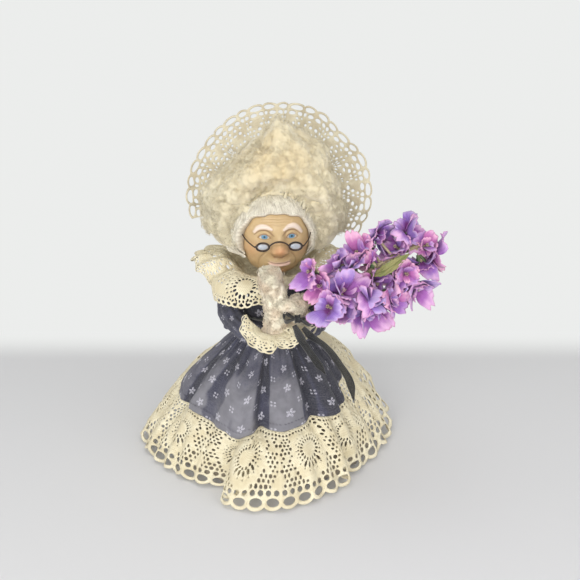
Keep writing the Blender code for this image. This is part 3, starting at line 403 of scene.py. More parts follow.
def set_points(item: Item, points: Array) -> None:
    """Move an object's points."""
    item.data.vertices.foreach_set("co", points.astype(np.float32).ravel())
    item.data.update()


def settle(item: Item, body: Body, slot: str, *nodes: str) -> None:
    """Fix a piece to its body, and hide the frame nodes that it stands for.

    Args:
        item: The piece.
        body: The body that it rides on.
        slot: Its material slot; not used.
        *nodes: The frame nodes that it stands for.
    """
    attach(item, body.value)
    if nodes:
        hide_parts(*nodes)
    LOG.info("%s rides on %s", item.name, body.value)


def declare_sheet(flat: Pair, share: float) -> None:
    """Work out a gathered cloth's area left by its holes, as a share of its flat area; the result
    is not kept.
    """
    flat[0] * flat[1] * share


# Finishes


def linear(colour: Colour) -> tuple[float, float, float, float]:
    """Turn a colour as it is seen into the renderer's own scale."""
    parts = [part / 12.92 if part <= 0.04045 else ((part + 0.055) / 1.055) ** 2.4
             for part in colour]
    return (*parts, 1.0)


@dataclass(frozen=True)
class Signal:
    """An output of a shader node, which takes part in sums."""

    nodes: "NodeTree"
    socket: bpy.types.NodeSocket

    def __add__(self, other: object) -> "Signal":
        """Add a number or a signal."""
        return self.nodes.math("ADD", self, other)

    def __sub__(self, other: object) -> "Signal":
        """Take a number or a signal away."""
        return self.nodes.math("SUBTRACT", self, other)

    def __rsub__(self, other: object) -> "Signal":
        """Take this away from a number."""
        return self.nodes.math("SUBTRACT", other, self)

    def __mul__(self, other: object) -> "Signal":
        """Multiply by a number or a signal."""
        return self.nodes.math("MULTIPLY", self, other)

    def __rtruediv__(self, other: object) -> "Signal":
        """Divide a number by this."""
        return self.nodes.math("DIVIDE", other, self)

    def __abs__(self) -> "Signal":
        """Drop the sign."""
        return self.nodes.math("ABSOLUTE", self)


Signals = dict[int | str, Signal]


class NodeTree:
    """A shader tree with short ways to add to it."""

    def __init__(self, tree: bpy.types.NodeTree) -> None:
        """Hold a tree."""
        self.tree = tree

    def link(self, node: bpy.types.Node, inputs: dict) -> None:
        """Set a node's inputs.

        Args:
            node: The node.
            inputs: Plain values or signals by input name or number.
        """
        for key, value in inputs.items():
            if isinstance(value, Signal):
                self.tree.links.new(value.socket, node.inputs[key])
            else:
                node.inputs[key].default_value = value

    def signals(self, node: bpy.types.Node) -> Signals:
        """List a node's outputs by name and by number."""
        outputs = [Signal(self, socket) for socket in node.outputs]
        return {one.socket.name: one for one in outputs} | dict(enumerate(outputs))

    def add(self, kind: str, inputs: dict | None = None, **settings: object) -> Signals:
        """Add a node.

        Args:
            kind: The node's type without its common start.
            inputs: Plain values or signals by input name or number.
            **settings: The node's own settings.

        Returns:
            Its outputs by name and by number.
        """
        made = self.tree.nodes.new("ShaderNode" + kind)
        for key, value in settings.items():
            setattr(made, key, value)
        self.link(made, inputs or {})
        return self.signals(made)

    def math(self, operation: str, first: object, second: object = 0.0) -> Signal:
        """Work out a number from two others."""
        return self.add("Math", {0: first, 1: second}, operation=operation)[0]

    def vector(self, operation: str, first: object, second: object = (0.0, 0.0, 0.0)) -> Signal:
        """Work out a place or a length; the second input of a scaling is a number."""
        made = self.add("VectorMath", {0: first, 3 if operation == "SCALE" else 1: second},
                        operation=operation)
        return made["Value" if operation in ("DISTANCE", "LENGTH") else "Vector"]

    def parts(self, place: Signal) -> tuple[Signal, Signal, Signal]:
        """Part a place into its three numbers."""
        made = self.add("SeparateXYZ", {0: place})
        return made[0], made[1], made[2]

    def mix(self, share: object, first: object, second: object) -> Signal:
        """Mix two colours, plain or signals, by a share."""
        colours = [linear(one) if isinstance(one, tuple) else one for one in (first, second)]
        return self.add("Mix", {0: share, 6: colours[0], 7: colours[1]}, data_type="RGBA")[2]

    def coated(self, colour: Signal, *coats: tuple[Signal, object]) -> Signal:
        """Lay coats over a colour, each by its own share."""
        for share, coat in coats:
            colour = self.mix(share, colour, coat)
        return colour

    def ramp(self, value: Signal, low: float, high: float) -> Signal:
        """Ease a value from 0 at one end to 1 at the other."""
        return self.add("MapRange", {"Value": value, "From Min": low, "From Max": high},
                        interpolation_type="SMOOTHSTEP")["Result"]

    def value_of(self, name: str) -> Signal:
        """Read a number that the mesh keeps at its points."""
        return self.add("Attribute", attribute_name=name)["Fac"]

    def place_of(self, name: str) -> Signal:
        """Read a place that the mesh keeps at its points."""
        return self.add("Attribute", attribute_name=name)["Vector"]

    def body_place(self) -> Signal:
        """Give the place in the piece's own space."""
        return self.add("TexCoord")["Object"]

    def noise(self, place: Signal, size: float, detail: float = 3.0) -> Signal:
        """Add noise with lumps of a size in metres."""
        return self.add("TexNoise", {"Vector": place, "Scale": 1.0 / size, "Detail": detail})[0]

    def bump(self, height: Signal, distance: float, strength: float = 1.0) -> Signal:
        """Turn a height into a normal."""
        return self.add("Bump", {"Height": height, "Distance": distance,
                                 "Strength": strength})[0]

    def woven(self, place: Signal, thread: float) -> Signals:
        """Place the weave, with threads of a size."""
        return self.add("Group", {"Place": place, "Thread": thread}, node_tree=weave_group())

    def mottled(self, place: Signal, size: float, first: Colour, second: Colour,
                share: float) -> Signal:
        """Shade a colour unevenly with patches of another."""
        return self.add("Group", {
            "Place": place, "Size": size, "Colour": linear(first), "Other": linear(second),
            "Share": share}, node_tree=mottle_group())[0]


def new_group(name: str, inputs: dict[str, str],
              outputs: dict[str, str]) -> tuple[NodeTree, Signals, bpy.types.Node]:
    """Start a node group.

    Args:
        name: The group's name.
        inputs: Kinds of the inputs by name.
        outputs: Kinds of the outputs by name.

    Returns:
        The tree, what it is given, and its output node.
    """
    tree = bpy.data.node_groups.new(name, "ShaderNodeTree")
    for way, sockets in (("INPUT", inputs), ("OUTPUT", outputs)):
        for title, kind in sockets.items():
            tree.interface.new_socket(title, in_out=way, socket_type="NodeSocket" + kind)
    nodes = NodeTree(tree)
    return nodes, nodes.signals(tree.nodes.new("NodeGroupInput")), tree.nodes.new("NodeGroupOutput")


@cache
def weave_group() -> bpy.types.NodeTree:
    """Make the group that gives the height of plain woven threads with uneven yarn.

    Returns:
        The group.
    """
    nodes, given, made = new_group("Weave", {"Place": "Vector", "Thread": "Float"},
                                   {"Height": "Float", "Yarn": "Float"})
    scaled = nodes.vector("SCALE", given["Place"], math.pi / given["Thread"])
    warp, weft, _ = nodes.parts(scaled)
    over = nodes.math("SINE", warp) * nodes.math("SINE", weft)
    stretched = nodes.vector("MULTIPLY", scaled, (0.06, 1.0, 1.0))
    slub = nodes.add("TexNoise", {"Vector": stretched, "Scale": 0.35, "Detail": 2.0})[0]
    nodes.link(made, {"Height": over * 0.5 + slub, "Yarn": slub})
    return nodes.tree


@cache
def mottle_group() -> bpy.types.NodeTree:
    """Make the group that shades a colour unevenly, as dye and handling do.

    Returns:
        The group.
    """
    nodes, given, made = new_group(
        "Mottle", {"Place": "Vector", "Size": "Float", "Colour": "Color", "Other": "Color",
                   "Share": "Float"}, {"Colour": "Color"})
    cloud = nodes.add("TexNoise", {"Vector": given["Place"], "Scale": 1.0 / given["Size"],
                                   "Detail": 4.0})[0]
    share = nodes.ramp(cloud, 0.35, 0.68) * given["Share"]
    nodes.link(made, {"Colour": nodes.mix(share, given["Colour"], given["Other"])})
    return nodes.tree


@cache
def print_group() -> bpy.types.NodeTree:
    """Make the group of a calico print: small flowers of five petals and squares of four dots.

    Returns:
        The group.
    """
    nodes, given, made = new_group("Calico", {"Place": "Vector", "Repeat": "Float"},
                                   {"Ink": "Float"})
    flat, middle = (1.0, 1.0, 0.0), (0.5, 0.5, 0.0)

    def from_middle(place: Signal) -> Signal:
        """Give the way to a place from the middle of its cell."""
        return nodes.vector("SUBTRACT", nodes.vector("FRACTION", place), middle)

    cells = nodes.vector("SCALE", given["Place"], 1.0 / given["Repeat"])
    folded = nodes.vector("ABSOLUTE", from_middle(nodes.vector("ADD", cells, middle)))
    away = nodes.vector("DISTANCE", nodes.vector("MULTIPLY", folded, flat), (0.062, 0.062, 0.0))
    drawn = nodes.add("TexWhiteNoise", {"Vector": nodes.vector("FLOOR", cells)},
                      noise_dimensions="3D")
    shift = nodes.vector("SCALE", nodes.vector("SUBTRACT", drawn[1], middle), 0.22)
    place = nodes.vector("ADD", from_middle(cells), shift)
    x, y, _ = nodes.parts(place)
    turn = nodes.math("ARCTAN2", y, x) + drawn[0] * FULL_TURN
    reach = abs(nodes.math("COSINE", turn * 2.5)) * 0.125 + 0.045
    size = nodes.vector("LENGTH", nodes.vector("MULTIPLY", place, flat))
    flower = nodes.ramp(size - reach, 0.012, -0.012) * nodes.ramp(size, 0.024, 0.036)
    nodes.link(made, {"Ink": nodes.math("MAXIMUM", flower, nodes.ramp(away, 0.048, 0.032))})
    return nodes.tree


class MaterialTree(NodeTree):
    """A new material's tree, with its shader."""

    def __init__(self, name: str, **plain: object) -> None:
        """Start a material.

        Args:
            name: The material's name.
            **plain: Values that go straight to the shader's own sockets.
        """
        self.material = bpy.data.materials.new(name)
        self.material.use_nodes = True
        super().__init__(self.material.node_tree)
        self.shader = self.tree.nodes["Principled BSDF"]
        self.feed(**plain)

    def feed(self, **inputs: object) -> Material:
        """Set the shader's inputs by name, and give the material."""
        self.link(self.shader, {key.replace("_", " "): value for key, value in inputs.items()})
        return self.material


@dataclass(frozen=True)
class SolidFinish:
    """A hard, felted or beaded material with uneven colour and a fine grain."""

    name: str
    colour: Colour
    other: Colour
    roughness: float = 0.7
    grain: float = 0.0008
    depth: float = 0.0001
    patch: float = 0.02
    stretch: Place = (1.0, 1.0, 1.0)
    metallic: float = 0.0
    beaded: bool = False

    def material(self) -> Material:
        """Make the material.

        Returns:
            The material.
        """
        nodes = MaterialTree(self.name, Metallic=self.metallic)
        place = nodes.vector("MULTIPLY", nodes.body_place(), self.stretch)
        if self.beaded:
            cells = nodes.add("TexVoronoi", {"Vector": place, "Scale": 1.0 / self.grain})
            height = 1.0 - cells["Distance"]
        else:
            height = nodes.noise(place, self.grain)
        return nodes.feed(
            Base_Color=nodes.mottled(place, self.patch, self.colour, self.other, 1.0),
            Roughness=height * 0.2 + (self.roughness - 0.1),
            Normal=nodes.bump(height, self.depth))


@dataclass(frozen=True)
class CalicoFinish:
    """Faded cotton, plain or with a small white print; its wear also carries painted light and
    shade.
    """

    name: str = "Faded_navy_calico"
    body: Colour = (0.225, 0.23, 0.325)
    # The deep colour is the cloth's darker tone and also the colour of its painted shade
    deep: Colour = (0.11, 0.115, 0.165)
    faded: Colour = (0.52, 0.515, 0.54)
    ink: Colour = (0.80, 0.79, 0.83)
    stitch: Colour = (0.17, 0.15, 0.19)
    thread: float = 0.00042
    repeat: float = 0.0200
    printed: bool = True

    def material(self) -> Material:
        """Make the material, which reads the cloth's own coordinates, its wear with the painted
        light and shade in it, and its hem.

        Returns:
            The material.
        """
        nodes = MaterialTree(self.name, Sheen_Weight=0.12, Sheen_Roughness=0.5)
        place = nodes.place_of("cloth")
        weave = nodes.woven(place, self.thread)
        cloud = nodes.noise(place, 0.018, 4.0) * 0.65 + nodes.noise(place, 0.0026) * 0.35
        wear_and_shade = cloud * 0.65 + nodes.value_of("wear_and_shade") * 0.9
        lint = nodes.ramp(nodes.noise(place, 0.0011), 0.35, 0.75)
        dust = nodes.ramp(nodes.noise(place, 0.0100, 5.0), 0.70, 0.30)
        # Low wear values lay the deep colour on as painted shade; high ones lay the faded colour
        # on, partly wear and partly painted light
        colour = nodes.coated(
            nodes.mottled(place, 0.022, self.body, self.deep, 0.65),
            (nodes.ramp(wear_and_shade, 0.38, 0.06) * 0.95, self.deep),
            (nodes.ramp(wear_and_shade, 0.34, 1.04), self.faded),
            (nodes.ramp(weave["Yarn"], 0.25, 0.8) * 0.25, self.faded),
            (lint * 0.26, self.faded), (dust * 0.24, self.deep))
        if self.printed:
            ink = nodes.add("Group", {"Place": place, "Repeat": self.repeat},
                            node_tree=print_group())[0]
            rub = nodes.ramp(nodes.noise(place, 0.0009, 2.0), 0.30, 0.55)
            colour = nodes.mix(ink * (rub * 0.68), colour, self.ink)
        return nodes.feed(
            Base_Color=nodes.mix(nodes.value_of("stitch") * 0.6, colour, self.stitch),
            Roughness=0.93 - cloud * 0.12, Normal=nodes.bump(weave["Height"], 0.00012, 0.7))


@dataclass(frozen=True)
class LaceFinish:
    """Cotton thread lace: corded round its holes, cloth stitch between them."""

    name: str
    light: Colour
    shade: Colour
    thread: float = 0.00095

    def material(self) -> Material:
        """Make the material, which reads the lace's own coordinates and its holes' rims.

        Returns:
            The material.
        """
        nodes = MaterialTree(self.name, Sheen_Weight=0.1)
        place = nodes.place_of("cloth")
        rim = nodes.value_of("rim")
        height = nodes.woven(place, self.thread)["Height"]
        threads = nodes.ramp(height, 0.62, 0.15)
        colour = nodes.mottled(place, 0.012, self.light, self.shade, 0.55)
        # Painted shade: the lace darkens where its weave is low, between the threads, but not on
        # the holes' rims
        return nodes.feed(
            Base_Color=nodes.mix(threads * 0.75 * (1.0 - rim), colour, self.shade),
            Roughness=threads * 0.12 + 0.82, Normal=nodes.bump(height + rim * 1.2, 0.0003, 0.8))


@dataclass(frozen=True)
class SkinFinish:
    """Painted flesh with blushed cheeks, painted eyes, brows and lips, and painted shade in its
    creases and under its nose and lower lip.
    """

    name: str = "Painted_face"
    flesh: Colour = (0.785, 0.68, 0.51)
    deep: Colour = (0.73, 0.59, 0.395)
    # Each coat's mask, colour and cover, from the lowest; the crease coat is painted shade
    coats: tuple = (("blush", (0.84, 0.50, 0.33), 0.75), ("crease_shade", (0.40, 0.24, 0.16), 0.55),
                    ("lip", (0.965, 0.84, 0.78), 0.95), ("white", (0.94, 0.875, 0.83), 0.97),
                    ("iris", (0.37, 0.57, 0.68), 1.0), ("dark", (0.40, 0.24, 0.16), 0.95),
                    ("pupil", (0.10, 0.12, 0.16), 1.0))

    def material(self) -> Material:
        """Make the material, which reads one mask for each paint.

        Returns:
            The material.
        """
        nodes = MaterialTree(self.name, Coat_Weight=0.12, Coat_Roughness=0.35)
        place = nodes.body_place()
        colour = nodes.coated(nodes.mottled(place, 0.009, self.flesh, self.deep, 0.35),
                              *((nodes.value_of(mask) * cover, paint)
                                for mask, paint, cover in self.coats))
        grain = nodes.noise(place, 0.0011)
        return nodes.feed(Base_Color=colour, Roughness=grain * 0.22 + 0.40,
                          Normal=nodes.bump(grain, 0.00008, 0.6))


@dataclass(frozen=True)
class FibreFinish:
    """Hair, fleece or looped yarn, with painted shade in its hollows between its tips and its
    roots.
    """

    name: str
    light: Colour
    shade: Colour
    tint: Colour
    patch: float = 0.014
    grain: float = 0.0006
    roughness: float = 0.9
    shine: float = 0.3

    def material(self) -> Material:
        """Make the material, which reads the painted shade of its hollows and the tint.

        Returns:
            The material.
        """
        nodes = MaterialTree(self.name, Sheen_Weight=self.shine, Sheen_Roughness=0.5)
        place = nodes.body_place()
        colour = nodes.coated(nodes.mottled(place, self.patch, self.light, self.shade, 0.35),
                              (nodes.value_of("tint"), self.tint),
                              (nodes.value_of("deep") * 0.7, self.shade))
        grain = nodes.noise(place, self.grain)
        return nodes.feed(Base_Color=colour, Roughness=grain * 0.15 + (self.roughness - 0.08),
                          Normal=nodes.bump(grain, 0.0003, 0.6))


@dataclass(frozen=True)
class LensFinish:
    """Thin clear lens with a grey cast."""

    name: str = "Clear_lens"
    colour: Colour = (0.80, 0.83, 0.86)
    smeared: Colour = (0.70, 0.74, 0.80)

    def material(self) -> Material:
        """Make the material.

        Returns:
            The material.
        """
        nodes = MaterialTree(self.name, Roughness=0.06, Coat_Weight=0.4)
        smear = nodes.noise(nodes.body_place(), 0.003, 2.0)
        return nodes.feed(Base_Color=nodes.mix(smear, self.colour, self.smeared),
                          Alpha=smear * 0.4 + 0.45)


@dataclass(frozen=True)
class PetalFinish:
    """Dyed cloth petal, veined from its throat to its rim; petals vary between two hues."""

    name: str
    rims: tuple[Colour, Colour]
    middles: tuple[Colour, Colour]
    throat: Colour = (0.44, 0.13, 0.44)
    vein: Colour = (0.38, 0.18, 0.52)
    edge: Colour = (0.80, 0.44, 0.66)

    def material(self) -> Material:
        """Make the material, which reads the place across and along each petal and its hue.

        Returns:
            The material.
        """
        nodes = MaterialTree(self.name, Sheen_Weight=0.2, Roughness=0.75)
        place = nodes.place_of("petal")
        across, along, own_hue = nodes.parts(place)
        drift = nodes.noise(nodes.body_place(), 0.008) - 0.5
        hue = nodes.ramp(own_hue + drift, 0.25, 0.75)
        shifted = along + drift * 0.7
        wander = nodes.noise(place, 0.35, 2.0) * 3.0
        lines = abs(nodes.math("SINE", across * 22.0 + wander))
        veins = nodes.ramp(lines, 0.45, 0.05) * nodes.ramp(along, 1.05, 0.35)
        middle = nodes.mix(hue, *self.middles)
        # The throat colour is each petal's darker base, deepened as painted shade among the close
        # petals
        colour = nodes.coated(
            nodes.mix(nodes.ramp(shifted, 0.10, 0.48), self.throat, middle),
            (nodes.ramp(shifted, 0.50, 0.95), nodes.mix(hue, *self.rims)),
            (nodes.ramp(along, 0.93, 1.0) * 0.5, self.edge), (veins * 0.45, self.vein))
        weave = nodes.noise(nodes.body_place(), 0.0005, 2.0)
        return nodes.feed(Base_Color=colour, Normal=nodes.bump(weave * 0.5 - veins, 0.0002, 0.6))


@dataclass(frozen=True)
class RibbonFinish:
    """Sheer black ribbon with close, shining edges."""

    name: str
    sheer: float
    colour: Colour = (0.045, 0.045, 0.055)

    def material(self) -> Material:
        """Make the material, which reads how near the ribbon's edge a place is.

        Returns:
            The material.
        """
        nodes = MaterialTree(self.name, Base_Color=linear(self.colour), Sheen_Weight=0.3,
                             Specular_IOR_Level=0.6)
        band = nodes.ramp(nodes.value_of("edge"), 0.66, 0.74)
        height = nodes.woven(nodes.place_of("cloth"), 0.0004)["Height"]
        gaps = (1.0 - band) * self.sheer * (nodes.ramp(height, 0.2, 0.9) + 0.35)
        return nodes.feed(Alpha=1.0 - gaps, Roughness=0.58 - band * 0.26,
                          Normal=nodes.bump(height, 0.0001, 0.6))


@dataclass(frozen=True)
class FoliageFinish:
    """Green cloth or plastic with veins and dry tips."""

    name: str
    green: Colour
    dry: Colour
    dark: Colour
    roughness: float = 0.6

    def material(self) -> Material:
        """Make the material, which reads the place across and along a blade.

        Returns:
            The material.
        """
        nodes = MaterialTree(self.name, Specular_IOR_Level=0.35)
        across, along, _ = nodes.parts(nodes.place_of("petal"))
        place = nodes.body_place()
        slanted = nodes.math("SINE", along * 60.0 - abs(across) * 14.0)
        veins = nodes.math("MAXIMUM", nodes.ramp(abs(across), 0.14, 0.04),
                           nodes.ramp(abs(slanted), 0.35, 0.05) * 0.5)
        grain = nodes.noise(place, 0.0007, 2.0)
        colour = nodes.mottled(place, 0.006, self.green, self.dry, 0.8)
        return nodes.feed(Base_Color=nodes.mix(veins * 0.6, colour, self.dark),
                          Roughness=grain * 0.16 + (self.roughness - 0.08),
                          Normal=nodes.bump(grain - veins, 0.00025, 0.7))


class Wardrobe:
    """Every finish of the doll, made once."""

    def __init__(self) -> None:
        """Make the finishes."""
        self.felt = SolidFinish("Pressed_felt", (0.24, 0.24, 0.25), (0.17, 0.17, 0.18), 0.92,
                                0.0006, 0.0003).material()
        self.card = SolidFinish("Grey_board", (0.68, 0.60, 0.48), (0.60, 0.52, 0.41),
                                0.85).material()
        self.foam = SolidFinish("Beaded_foam", (0.92, 0.92, 0.90), (0.86, 0.86, 0.84), 0.8,
                                0.0030, 0.0005, beaded=True).material()
        self.wood = SolidFinish("Bare_hardwood", (0.76, 0.62, 0.45), (0.62, 0.47, 0.31), 0.6,
                                0.0007, 0.0001, 0.004, (1.0, 1.0, 0.12)).material()
        self.wire = SolidFinish("Bare_wire", (0.66, 0.65, 0.62), (0.55, 0.54, 0.52), 0.35,
                                0.0004, 0.00003, metallic=1.0).material()
        self.rim = SolidFinish("Dark_enamel_wire", (0.13, 0.10, 0.09), (0.24, 0.17, 0.13), 0.38,
                               0.0006, 0.00004, 0.004).material()
        self.navy = CalicoFinish().material()
        self.lining = CalicoFinish(name="Cream_lining", body=(0.66, 0.61, 0.54),
                                   deep=(0.56, 0.52, 0.46), faded=(0.72, 0.68, 0.61),
                                   printed=False).material()
        self.lace = LaceFinish("Cream_bobbin_lace", (0.92, 0.885, 0.77),
                               (0.79, 0.73, 0.58)).material()
        self.bonnet = LaceFinish("Bonnet_lace", (0.86, 0.825, 0.72), (0.70, 0.64, 0.52)).material()
        self.skin = SkinFinish().material()
        self.hair = FibreFinish("Combed_white_hair", (0.985, 0.965, 0.90), (0.70, 0.66, 0.58),
                                (0.92, 0.80, 0.72), 0.006, 0.0005, 0.75, 0.2).material()
        self.wool = FibreFinish("Curly_fleece", (0.88, 0.845, 0.735), (0.79, 0.735, 0.60),
                                (0.84, 0.765, 0.60), shine=0.5).material()
        self.boucle = FibreFinish("Looped_yarn", (0.97, 0.945, 0.86), (0.60, 0.52, 0.41),
                                  (0.94, 0.86, 0.76), 0.008).material()
        self.lens = LensFinish().material()
        self.violet = PetalFinish("Violet_petal", ((0.76, 0.66, 0.85), (0.86, 0.68, 0.83)),
                                  ((0.55, 0.41, 0.72), (0.64, 0.38, 0.68))).material()
        self.pink = PetalFinish("Pink_petal", ((0.80, 0.65, 0.84), (0.92, 0.71, 0.82)),
                                ((0.62, 0.40, 0.72), (0.74, 0.42, 0.67))).material()
        self.calyx = FoliageFinish("Green_calyx", (0.36, 0.46, 0.32), (0.46, 0.52, 0.36),
                                   (0.24, 0.32, 0.22)).material()
        self.stem = FoliageFinish("Wrapped_stem", (0.68, 0.64, 0.50), (0.76, 0.68, 0.58),
                                  (0.48, 0.48, 0.34)).material()
        self.leaf = FoliageFinish("Pressed_leaf", (0.50, 0.53, 0.32), (0.60, 0.57, 0.38),
                                  (0.36, 0.40, 0.22)).material()
        self.bow = RibbonFinish("Satin_bow", 0.15).material()
        self.ribbon = RibbonFinish("Sheer_ribbon", 0.26).material()


# Lace


@dataclass(frozen=True)
class LacePattern:
    """One repeat of a scalloped bobbin lace, flat; its depth runs from header to picots.

    The cover is the share of it that is thread.
    """

    repeat: float = 0.061
    depth: float = 0.060
    picots: int = 5
    scallop: float = 0.0022
    picot_hole: Pair = (0.0046, 0.0026)
    picot_level: float = 0.0552
    net_count: int = 16
    net_hole: float = 0.00165
    net_levels: tuple[float, ...] = tuple(0.0084 + 0.0034 * step for step in range(12))
    big_level: float = 0.0497
    big_hole: Pair = (0.0021, 0.0019)
    header_level: float = 0.0016
    header_hole: float = 0.0006
    top_level: float = 0.0046
    top_hole: float = 0.0014
    fan_middle: Pair = (0.0305, 0.0240)
    fan_half: Pair = (0.0165, 0.0205)
    looseness: float = 0.13
    rings: tuple[tuple[float, int, float, float], ...] = (
        (0.0086, 18, 0.0010, 0.0017), (0.0118, 24, 0.0008, 0.0010))
    slot_turns: tuple[float, ...] = (-34.0, -17.0, 0.0, 17.0, 34.0)
    slot_middle: float = 0.0126
    slot_half: Pair = (0.0011, 0.0026)
    pin_hole: Pair = (0.00045, 0.0009)
    pin_arcs: tuple[tuple[float, int], ...] = ((0.84, 19),)
    fill: float = 0.0026
    cover: float = 0.85

    def oval(self, middle: Pair, half: Pair, corners: int,
             turn: float = 0.0) -> Array:
        """Give the outline of an oval hole.

        Args:
            middle: The hole's middle.
            half: Half its width and half its height.
            corners: Its corners.
            turn: Its turn in radians.

        Returns:
            The outline.
        """
        angle = FULL_TURN * (np.arange(corners) + 0.5) / corners
        flat = stacked(half[0] * np.cos(angle), half[1] * np.sin(angle))
        spin = np.array([[math.cos(turn), -math.sin(turn)], [math.sin(turn), math.cos(turn)]])
        return flat @ spin.T + middle

    def in_fan(self, x: float, level: float, margin: float) -> bool:
        """Say whether a place is in the close cloth round the medallion.

        Args:
            x: The place along the lace.
            level: Its depth.
            margin: Room to keep round it.

        Returns:
            Whether it is.
        """
        across = (x - self.fan_middle[0]) / (self.fan_half[0] + margin)
        down = (level - self.fan_middle[1]) / (self.fan_half[1] + margin)
        return across * across + down * down < 1.0

    def row(self, count: int, level: float, half: Pair, corners: int,
            offset: float = 0.5, kept_out: bool = False) -> list[Array]:
        """Give a row of holes that repeats with the pattern.

        Args:
            count: Holes in one repeat.
            level: Depth of their middles.
            half: Half width and half height.
            corners: Corners of each hole.
            offset: Place of the first as a share of their pitch.
            kept_out: Whether holes in the fan are left out.

        Returns:
            The outlines.
        """
        pitch = self.repeat / count
        places = [(index + offset) * pitch for index in range(count)]
        return [self.oval((x, level), half, corners) for x in places
                if not (kept_out and self.in_fan(x, level, half[0] + 0.0006))]

    def holes(self) -> list[Array]:
        """Give the outlines of every hole of a repeat.

        Returns:
            The outlines.
        """
        draw = np.random.default_rng(5)
        found = self.row(self.picots, self.picot_level, self.picot_hole, 14)
        found += self.row(self.picots * 2, self.big_level, self.big_hole, 9)
        for index, level in enumerate(self.net_levels):
            for hole in self.row(self.net_count, level, (self.net_hole, self.net_hole), 8,
                                 0.5 if index % 2 == 0 else 0.999, True):
                middle = hole.mean(0)
                scale, shift = draw.uniform(0.55, 1.0, 2), draw.normal(0.0, 0.20, 2)
                if draw.uniform() > self.looseness:
                    found.append((hole - middle) * scale + middle
                                 + shift * self.net_hole * (1.0 - scale.mean()) * 2.0)
        found += self.row(15, self.header_level, (self.header_hole, self.header_hole), 5)
        found += self.row(self.net_count, self.top_level, (self.top_hole, self.top_hole), 6)
        x, level = self.fan_middle
        spots = [(FULL_TURN * (index + 0.5) / count, radius, radius, (wide, tall), 6)
                 for radius, count, wide, tall in self.rings for index in range(count)
                 if radius < self.slot_middle - self.slot_half[1] or not self.slot_turns
                 or math.cos(FULL_TURN * (index + 0.5) / count) < 0.68]
        spots += [(math.radians(degrees), self.slot_middle, self.slot_middle, self.slot_half, 8)
                  for degrees in self.slot_turns]
        for share, count in self.pin_arcs:
            wide, tall = (share * half for half in self.fan_half)
            spots += [(math.radians(360.0 * index / count), wide, tall, self.pin_hole, 5)
                      for index in range(count)]
        for turn, wide, tall, half, corners in spots:
            middle = (x + wide * math.sin(turn), level + tall * math.cos(turn))
            if middle[1] > self.top_level + 0.002:
                found.append(self.oval(middle, half, corners, -turn))
        return [hole for hole in found if hole[:, 0].min() > 0.0002
                and hole[:, 0].max() < self.repeat - 0.0002]

    def outline(self) -> Array:
        """Give the outline of a repeat, with its scalloped edge.

        Returns:
            Its points in order.
        """
        steps = 9 * self.picots
        x = np.linspace(0.0, self.repeat, steps + 1)
        bulge = np.abs(np.sin(math.pi * x * self.picots / self.repeat)) ** 0.7
        low = self.depth - self.scallop * (1.0 - bulge)
        side = np.linspace(0.0, low[0], 24)[1:-1]
        top = np.linspace(0.0, self.repeat, 25)
        return np.vstack([stacked(x, low), stacked(self.repeat, side[::-1]),
                          stacked(top[::-1], 0.0), stacked(0.0, side)])

    def tile(self) -> tuple[Array, Array, Array]:
        """Cut one repeat into triangles.

        Returns:
            Its flat points, its triangles, and which points are on a rim.
        """
        loops = [self.outline()[::-1]] + self.holes()
        fixed = np.vstack(loops)
        x, level = np.meshgrid(np.arange(self.fill, self.repeat - 0.001, self.fill),
                               np.arange(self.fill / 2.0, self.depth - 0.003, self.fill))
        x[::2] += self.fill / 2.0
        filling = stacked(x.ravel(), level.ravel())
        filling = filling[filling[:, 0] < self.repeat - 0.001]
        gaps = np.linalg.norm(filling[:, None] - fixed[None], axis=-1).min(1)
        keep = gaps > 0.0011
        for hole in loops[1:]:
            middle = hole.mean(0)
            reach = np.linalg.norm(hole - middle, axis=1).max()
            keep &= np.linalg.norm(filling - middle, axis=1) > reach
        points = np.vstack([fixed, filling[keep]]) * 1000.0
        faces = []
        start = 0
        for loop in loops:
            faces.append(list(range(start, start + len(loop))))
            start += len(loop)
        made = delaunay_2d_cdt([Vector(point) for point in points.tolist()], [], faces, 1, 1e-5)
        kept = [face for face, owners in zip(made[2], made[5]) if list(owners) == [0]]
        flat = np.array([tuple(point) for point in made[0]]) / 1000.0
        rims = np.array([1.0 if owners and min(owners) < start else 0.0 for owners in made[3]])
        return flat, np.array([face for face in kept if len(face) == 3]), rims

    def strip(self, repeats: float) -> tuple[Array, Array, Array]:
        """Lay repeats side by side.

        Args:
            repeats: How many; a part of one is cut off at its end.

        Returns:
            Flat points, triangles, and which points are on a rim.
        """
        flat, triangles, rims = self.tile()
        count = math.ceil(repeats)
        points = np.vstack([flat + (self.repeat * index, 0.0) for index in range(count)])
        faces = np.vstack([triangles + len(flat) * index for index in range(count)])
        keys, first, where = np.unique(np.round(points * 1e6).astype(np.int64), axis=0,
                                       return_index=True, return_inverse=True)
        points, rims = points[first], np.tile(rims, count)[first]
        faces = where.ravel()[faces]
        faces = faces[points[faces, 0].max(1) <= self.repeat * repeats + 1e-6]
        used = np.unique(faces)
        return points[used], np.searchsorted(used, faces), rims[used]


def sew_lace(name: str, pattern: LacePattern, repeats: float, surface: Surface,
             finish: Material, thread: float) -> Item:
    """Lay a strip of lace on a surface.

    Args:
        name: The piece's name.
        pattern: The lace.
        repeats: How many repeats long it is.
        surface: Gives points from shares along the lace and down it.
        finish: The material.
        thread: The lace's thickness.

    Returns:
        The new piece.
    """
    flat, faces, rims = pattern.strip(repeats)
    points = surface(flat[:, 0] / (pattern.repeat * repeats), flat[:, 1] / pattern.depth)
    cloth = stacked(flat[:, 0], flat[:, 1], 0.0)
    item = build(name, points, [faces], finish, {"cloth": cloth, "rim": rims})
    thicken(item, thread)
    return item


# Dress


